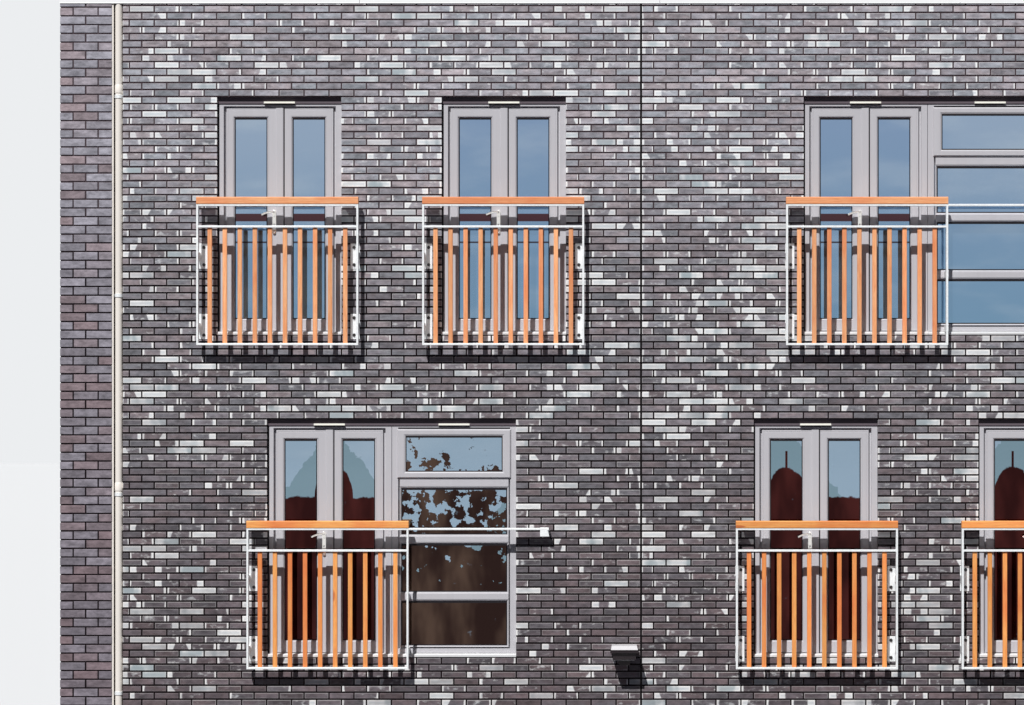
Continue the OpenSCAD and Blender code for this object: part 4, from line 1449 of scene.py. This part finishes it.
shape = Shape("guard_bars_steel")
for face, low, high in runs_of("guard_bars"):
    shape.box(face, low, high)
for face, low, high in runs_of("guard_bar_ends"):
    shape.box(face, (high.x - flat_h, low.y, high.z - flat_h), high - Vector((0, 0.004, 0)))
    shape.box(face, (low.x, high.y - PLATE_T, low.z), high)
shape.finish("galvanised", steel_finish, "guard_bars", "guard_bar_ends", bevel=0.0015)

# %% Wall plates and bolts
shape = Shape("wall_plates")
centres, turns = [], []
posts = runs_of("guard_posts")
for face, low, high in runs_of("guard_brackets"):
    if high.x - low.x <= 0.04:
        shape.box(face, low, high)
        continue
    at_left = any(other is face and abs(low.x - a.x) < 0.002 for other, a, b in posts)
    post_x = low.x if at_left else high.x - flat_h
    bolt_x = (post_x + flat_h + high.x) / 2 if at_left else (low.x + post_x) / 2
    middle = (low.z + high.z) / 2
    shape.box(face, (low.x, high.y - PLATE_T, low.z), high)
    shape.box(face, (post_x, low.y, middle - ARM_HALF), (post_x + flat_h, high.y - 0.002, middle + ARM_HALF))
    for z in (low.z + BOLT_IN, high.z - BOLT_IN):
        centres.append(face.outside(Vector((bolt_x, high.y - PLATE_T, z))))
        turns.append(face.turn)
shape.finish("galvanised", steel_finish, "guard_brackets", bevel=0.001)
hexagon = bolt_prototype("bolt_head", 0.019, 0.012)
set_copies("plate_bolts", hexagon, centres, turns, 0.0, bolt_finish, "bracket_steel")

# %% [markdown]
# ## The entrance
# The entrance leaf is one broad painted panel with a narrow pane. Moulded beads frame the pane, a
# brushed kick plate protects its foot, and three hinge knuckles show at its edge.

# %% Entrance leaf
KICK_IN, KICK_LOW, KICK_HIGH = 0.020, 0.010, 0.190
KNUCKLE_H, KNUCKLE_R = 0.090, 0.007
paint_finish = surface("entrance_paint", coated(tone(72, 66, 72), 0.36, 0.10, 0.08))

shape, trims = Shape("entrance_leaf_panel"), Shape("entrance_trims")
for unit, low, high in each("entrance_leaf", entrance_units):
    glass_low, glass_high = parts("entrance_glass", unit)[0]
    shape.frame(unit, span(low, high), span(glass_low, glass_high), [
        ("outer", 0.0, high.y), ("outer", 0.0, low.y + SOFT), ("outer", SOFT, low.y),
        ("inner", 0.040, low.y), ("inner", 0.038, low.y - 0.005), ("inner", 0.018, low.y - 0.005),
        ("inner", 0.014, low.y), ("inner", 0.0, low.y + 0.010), ("inner", 0.0, high.y)])
    trims.box(unit, (low.x + KICK_IN, low.y - 0.0015, low.z + KICK_LOW),
              (high.x - KICK_IN, low.y + 0.001, low.z + KICK_HIGH))
    for share in (0.10, 0.5, 0.88):
        z = low.z + share * (high.z - low.z)
        trims.rod(unit, [(low.x, low.y - 0.006, z), (low.x, low.y - 0.006, z + KNUCKLE_H)], KNUCKLE_R, 14)
shape.finish("entrance_paint", paint_finish, "entrance_leaf", bevel=0.001)
trims.finish("galvanised", steel_finish, bevel=0.0006)

# %% [markdown]
# ## Copings, downpipes and strips
# The walls are capped with folded metal in lengths of about two and a half metres, with narrow gaps
# over hidden straps. Each length has a slight fall inwards and a turned-out drip edge. The downpipes
# are round, with a socket at every bracket, and stand in slots beside a white strip.

# %% Copings
COPING_PIECE, COPING_GAP, COPING_FALL = 2.5, 0.004, 0.006
COPING_SHEET, DRIP_W = 0.003, 0.008
STRAP_IN, STRAP_UP, STRAP_DOWN = 0.006, 0.010, 0.009
COPING_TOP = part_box("long_copings")[1].z


def coping_with_shaded_top(graph, place):
    """Coated metal with painted shade on its level top, mottled by a noise."""
    inputs = coated(tone(248, 249, 248), 0.36, 0.08)(graph, place)
    # Painted shade: the level top is darker than the sides.
    on_top = graph.axes(place)[2].step(COPING_TOP - 0.014, COPING_TOP - 0.008)
    top_shade = on_top * (0.45 + graph.noise(place, 3.0, 4.0) * 0.5)
    inputs["Base Color"] = graph.blend(top_shade, inputs["Base Color"], tone(176, 176, 172))
    return inputs


def coping_outline(outer, inner, way, foot, top):
    """Outline across a coping from its drip edge over the top to the inner side. way is -1 or 1."""
    return [(outer - way * DRIP_W, foot), (outer, foot), (outer - way * 0.0015, foot + 0.004),
            (outer - way * 0.0015, top - 0.003), (outer - way * 0.004, top), (inner, top - COPING_FALL),
            (inner, WALL_TOP + COPING_SHEET), (outer - way * DRIP_W, WALL_TOP + COPING_SHEET)]


def lengths(start, stop):
    """Ends of the separate lengths of a coping, with their gaps taken off."""
    count = round((stop - start) / COPING_PIECE)
    step = (stop - start) / count
    edges = [start + i * step for i in range(count + 1)]
    return [(a + COPING_GAP / 2, b - COPING_GAP / 2) for a, b in zip(edges, edges[1:])]


coping_finish = surface("coping_metal", coping_with_shaded_top)
shape = Shape("coping_lengths")
for face, low, high in runs_of("long_copings"):
    for start, stop in lengths(low.x, high.x):
        shape.bar(face, start, stop, coping_outline(low.y, high.y, -1, low.z, high.z))
    shape.box(face, (low.x + STRAP_IN, low.y + STRAP_IN, low.z + STRAP_UP),
              (high.x - STRAP_IN, high.y - 0.002, high.z - STRAP_DOWN))
for low, high in solids("side_copings"):
    outer, inner, way = (high.x, low.x, 1) if low.x > 0 else (low.x, high.x, -1)
    across = coping_outline(outer, inner, way, low.z, high.z)
    for start, stop in lengths(low.y, high.y):
        shape.skin(None, [[(x, y, z) for x, z in across] for y in (start, stop)])
    left, right = sorted((outer - way * STRAP_IN, inner))
    shape.box(None, (left, low.y, low.z + STRAP_UP), (right, high.y, high.z - STRAP_DOWN))
shape.finish("coping_metal", coping_finish, "long_copings", "side_copings", bevel=0.001)

# %% Downpipes
SOCKET_H, SOCKET_OUT, SOCKET_UP = 0.070, 0.0035, 0.045
pipe_finish = surface("pipe_white", coated(tone(238, 231, 222), 0.34, 0.10))

shape = Shape("downpipe_lengths")
bracket_feet = sorted({round(low.z, 4) for low, high in solids("pipe_brackets")})
for low, high in solids("downpipes"):
    radius = (high.x - low.x) / 2 - 0.0005
    wide = radius + SOCKET_OUT
    levels = [(low.z, radius - 0.002), (low.z + 0.002, radius)]
    for z in bracket_feet[::2]:
        foot, top = z + SOCKET_UP, z + SOCKET_UP + SOCKET_H
        levels += [(foot, radius), (foot + 0.002, wide), (top, wide), (top + 0.003, wide - 0.002),
                   (top + 0.004, radius)]
    levels += [(high.z - 0.002, radius), (high.z, radius - 0.002)]
    middle = (low + high) / 2
    shape.turned(middle.x, middle.y, levels, 40)
shape.finish("pipe_white", pipe_finish, "downpipes", smooth=True)
dress("pipe_brackets", steel_finish)
dress("edge_strips", pipe_finish)

# %% [markdown]
# ## The wall lamp
# Above the entrance hangs a small lamp: a pale hood with sloping sides and a dark band along its
# lower edge, over a dark body with a ribbed cover and a frosted lens on its underside.

# %% Lamp hood
hood_low, hood_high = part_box("lamp_hood")
LAMP_TOP_W, LAMP_TOP_OUT = 0.220, 0.150
HOOD_LIP, HOOD_BAND_TOP = 0.006, hood_low.z + 0.026


def hood_paint(graph, place):
    """Pale enamel above a dark band along the hood's lower edge."""
    inputs = coated(tone(204, 202, 204), 0.34, 0.08)(graph, place)
    above = graph.axes(place)[2].step(HOOD_BAND_TOP - 0.001, HOOD_BAND_TOP + 0.001)
    inputs["Base Color"] = graph.blend(above, tone(26, 20, 23), inputs["Base Color"])
    return inputs


cheek = (hood_high.x - hood_low.x - LAMP_TOP_W) / 2
shape = Shape("lamp_hood_folded")
shape.skin(None, [
    [(x, y, z) for x, y in ((hood_low.x + side, front), (hood_high.x - side, front),
                            (hood_high.x - side, hood_high.y), (hood_low.x + side, hood_high.y))]
    for side, front, z in (
        (SOFT, hood_low.y + SOFT, hood_low.z), (0.0, hood_low.y, hood_low.z + 0.002),
        (0.0, hood_low.y, hood_low.z + HOOD_LIP), (cheek, hood_high.y - LAMP_TOP_OUT, hood_high.z))])
shape.finish("lamp_white", surface("lamp_white", hood_paint), "lamp_hood", bevel=0.0015)

# %% Lamp body and lens
LAMP_BODY_H, NECK_HALF = 0.070, 0.0497
RIBS, RIB_IN, RIB_HALF, RIB_OUT = 9, 0.018, 0.002, 0.004
GLAND_X, GLAND_IN, GLAND_R = 0.062, 0.040, 0.011

low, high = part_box("lamp_body")
under = hood_low.z
bottom = under - LAMP_BODY_H
middle = (low.x + high.x) / 2
shape = Shape("lamp_body_parts")
shape.box(None, (low.x, low.y, bottom + 0.012), (high.x, high.y, under))
shape.box(None, (middle - NECK_HALF, high.y - 0.010, low.z), (middle + NECK_HALF, high.y, bottom + 0.013))
for i in range(RIBS):
    x = low.x + RIB_IN + i * (high.x - low.x - 2 * RIB_IN) / (RIBS - 1)
    shape.box(None, (x - RIB_HALF, low.y - RIB_OUT, bottom + 0.018),
              (x + RIB_HALF, low.y + 0.001, under - 0.006))
gland_x, gland_y = middle + GLAND_X, high.y - GLAND_IN
shape.rod(None, [(gland_x, gland_y, bottom + 0.014), (gland_x, gland_y, bottom - 0.018)], GLAND_R, 20)
shape.finish("lamp_dark", surface("lamp_dark", coated(tone(38, 31, 34), 0.45)), "lamp_body", bevel=0.001)

LENS_IN = 0.012
shape = Shape("lamp_lens")
shape.box(None, (low.x + LENS_IN, low.y + LENS_IN, bottom + 0.003),
          (high.x - LENS_IN, high.y - 0.060, bottom + 0.013))
shape.finish("lamp_white", surface("lamp_lens", coated(tone(226, 224, 214), 0.28, 0.04)), bevel=0.002)

# %% [markdown]
# ## Roof and floors
# The flat roof is covered with lapped sheets of grey roofing felt, turned up against the parapet and
# held by a folded flashing. Two round outlets drain it. Floor slabs are concrete, and are only seen
# through an opening.

# %% Felt and concrete
def felt(graph, place):
    grit = graph.noise(place, 380.0, 2.0)
    ponds = graph.noise(place, 0.45, 2.0).step(0.56, 0.66)
    colour = graph.blend(graph.noise(place, 0.9, 5.0, 0.6), tone(86, 86, 88), tone(112, 111, 110))
    colour = graph.blend(ponds * 0.4, colour, tone(70, 70, 70))
    return {"Base Color": graph.vary(colour, 0.35, grit),
            "Roughness": 0.88 - ponds * 0.25, "Specular IOR Level": DULL,
            "Normal": graph.bump(grit, 0.5, 0.0015)}


def concrete(graph, place):
    pores = graph.noise(place, 55.0, 4.0, 0.6)
    colour = graph.blend(graph.noise(place, 1.6, 4.0), tone(150, 148, 143), tone(178, 176, 170))
    return {"Base Color": graph.vary(colour, 0.18, pores),
            "Roughness": 0.86 + (pores - 0.5) * 0.12, "Specular IOR Level": DULL,
            "Normal": graph.bump(pores, 0.4, 0.0015)}


felt_finish = surface("roofing_felt", felt)
concrete_finish = surface("concrete", concrete)
for node in ("ground_slab", "first_floor_slab", "second_floor_slab"):
    dress(node, concrete_finish)
dress("roof_slab", felt_finish)

# %% Roof sheets and outlets
SHEET_W, SHEET_LAP, SHEET_T = 1.0, 0.08, 0.004
TURN_UP_H, TURN_UP_T = 0.20, 0.010
OUTLET = ((0.0, 0.16), (0.012, 0.155), (0.020, 0.11), (0.070, 0.095), (0.088, 0.070), (0.094, 0.02))

low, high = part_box("roof_slab")
count = math.ceil((high.x - low.x) / (SHEET_W - SHEET_LAP))
step = (high.x - low.x) / count
shape = Shape("roof_sheets")
for i in range(count):
    level = high.z + SHEET_T * 0.5 * (i % 2)
    right = min(high.x, low.x + (i + 1) * step + SHEET_LAP)
    shape.box(None, (low.x + i * step, low.y, level), (right, high.y, level + SHEET_T))
for y in (low.y, high.y - TURN_UP_T):
    shape.box(None, (low.x, y, high.z), (high.x, y + TURN_UP_T, high.z + TURN_UP_H))
for x in (low.x, high.x - TURN_UP_T):
    shape.box(None, (x, low.y + TURN_UP_T, high.z), (x + TURN_UP_T, high.y - TURN_UP_T, high.z + TURN_UP_H))
for x in (low.x * 0.5, high.x * 0.5):
    shape.turned(x, 0.0, [(high.z + up, radius) for up, radius in OUTLET], 28)
shape.finish("concrete", felt_finish)

# %% Roof flashing
FLASHING_T, FLASHING_H, FLASHING_LAP = 0.004, 0.06, 0.03

z = high.z + TURN_UP_H - FLASHING_LAP
inner, beyond = TURN_UP_T, TURN_UP_T + FLASHING_T
shape = Shape("roof_flashing")
for y in (low.y + inner, high.y - beyond):
    shape.box(None, (low.x + inner, y, z), (high.x - inner, y + FLASHING_T, z + FLASHING_H))
for x in (low.x + inner, high.x - beyond):
    shape.box(None, (x, low.y + beyond, z), (x + FLASHING_T, high.y - beyond, z + FLASHING_H))
shape.finish("coping_metal", steel_finish, bevel=0.0008)

# %% [markdown]
# ## Movement joint
# A long wall needs an upright joint that can open and close. Here it runs down from the coping and
# is filled with a dark elastic sealant that lies a few millimetres behind the face of the bricks.

# %% Sealant
sealant_finish = surface("sealant", coated(tone(12, 7, 9), 0.7, shine=0.1))
foot = min(hole[3] for hole in holes_of(True))
half = JOINT_GAP / 2 + 0.0005
shape = Shape("movement_sealant")
for face in (front_face, rear_face):
    shape.box(face, (MOVEMENT_JOINT_X - half, -0.003, foot), (MOVEMENT_JOINT_X + half, 0.0, WALL_TOP))
shape.finish("plain_brick", sealant_finish)

# %% [markdown]
# ## The studio
# A plain pale floor, an even sky and a sun from the upper left. The sun is narrow, so the guard
# rails draw clear shadows on the frames behind them, and a weaker one lights the rear. Floor and sky
# throw back less light than they show, so that shadows keep their depth.

# %% Floor, sky and suns
SUN_WAY, REAR_WAY = Vector((0.36, 1.0, -1.28)), Vector((-0.45, -1.0, -0.40))
SUN_STRENGTH, SUN_ANGLE = 4.72, 0.7
REAR_STRENGTH, REAR_ANGLE = 2.1, 20.0
SKY_STRENGTH, SKY_LIGHT, SKY_SEEN = 0.048, tone(220, 230, 255), tone(236, 238, 240)
FLOOR_SEEN, FLOOR_BOUNCE, FLOOR_HALF = tone(200, 201, 202), tone(48, 48, 60), 190


def sun(name, way, strength, angle):
    lamp = shown(name, bpy.data.lights.new(name, "SUN"))
    lamp.data.energy = strength
    lamp.data.angle = math.radians(angle)
    lamp.rotation_euler = way.to_track_quat("-Z", "Y").to_euler()


def seen_ray(graph):
    """1 where a ray comes from the camera or from a mirror, and 0 for light that bounces."""
    rays = graph.node("ShaderNodeLightPath")
    return Wire(graph, rays.outputs["Is Camera Ray"]).max(Wire(graph, rays.outputs["Is Glossy Ray"]))


def floor_colour(graph, place):
    return {"Base Color": graph.blend(seen_ray(graph), FLOOR_BOUNCE, FLOOR_SEEN), "Roughness": 0.9,
            "Specular IOR Level": DULL}


bm = bmesh.new()
bmesh.ops.create_grid(bm, x_segments=1, y_segments=1, size=FLOOR_HALF)
floor = shown("floor", mesh_of(bm, "floor"))
floor.data.materials.append(surface("floor", floor_colour))

world = bpy.data.worlds.new("sky")
world.use_nodes = True
world.node_tree.nodes.clear()
graph = Graph(world.node_tree)
light, seen = (graph.add("ShaderNodeBackground", None, {"Color": (*colour, 1), "Strength": strength})
               for colour, strength in ((SKY_LIGHT, SKY_STRENGTH), (SKY_SEEN, 1.0)))
mixed = graph.add("ShaderNodeMixShader", None, {0: seen_ray(graph), 1: light, 2: seen})
graph.node("ShaderNodeOutputWorld", None, {"Surface": mixed})
bpy.context.scene.world = world
sun("sun", SUN_WAY, SUN_STRENGTH, SUN_ANGLE)
sun("rear_sun", REAR_WAY, REAR_STRENGTH, REAR_ANGLE)
bpy.context.scene.view_settings.view_transform = "Standard"
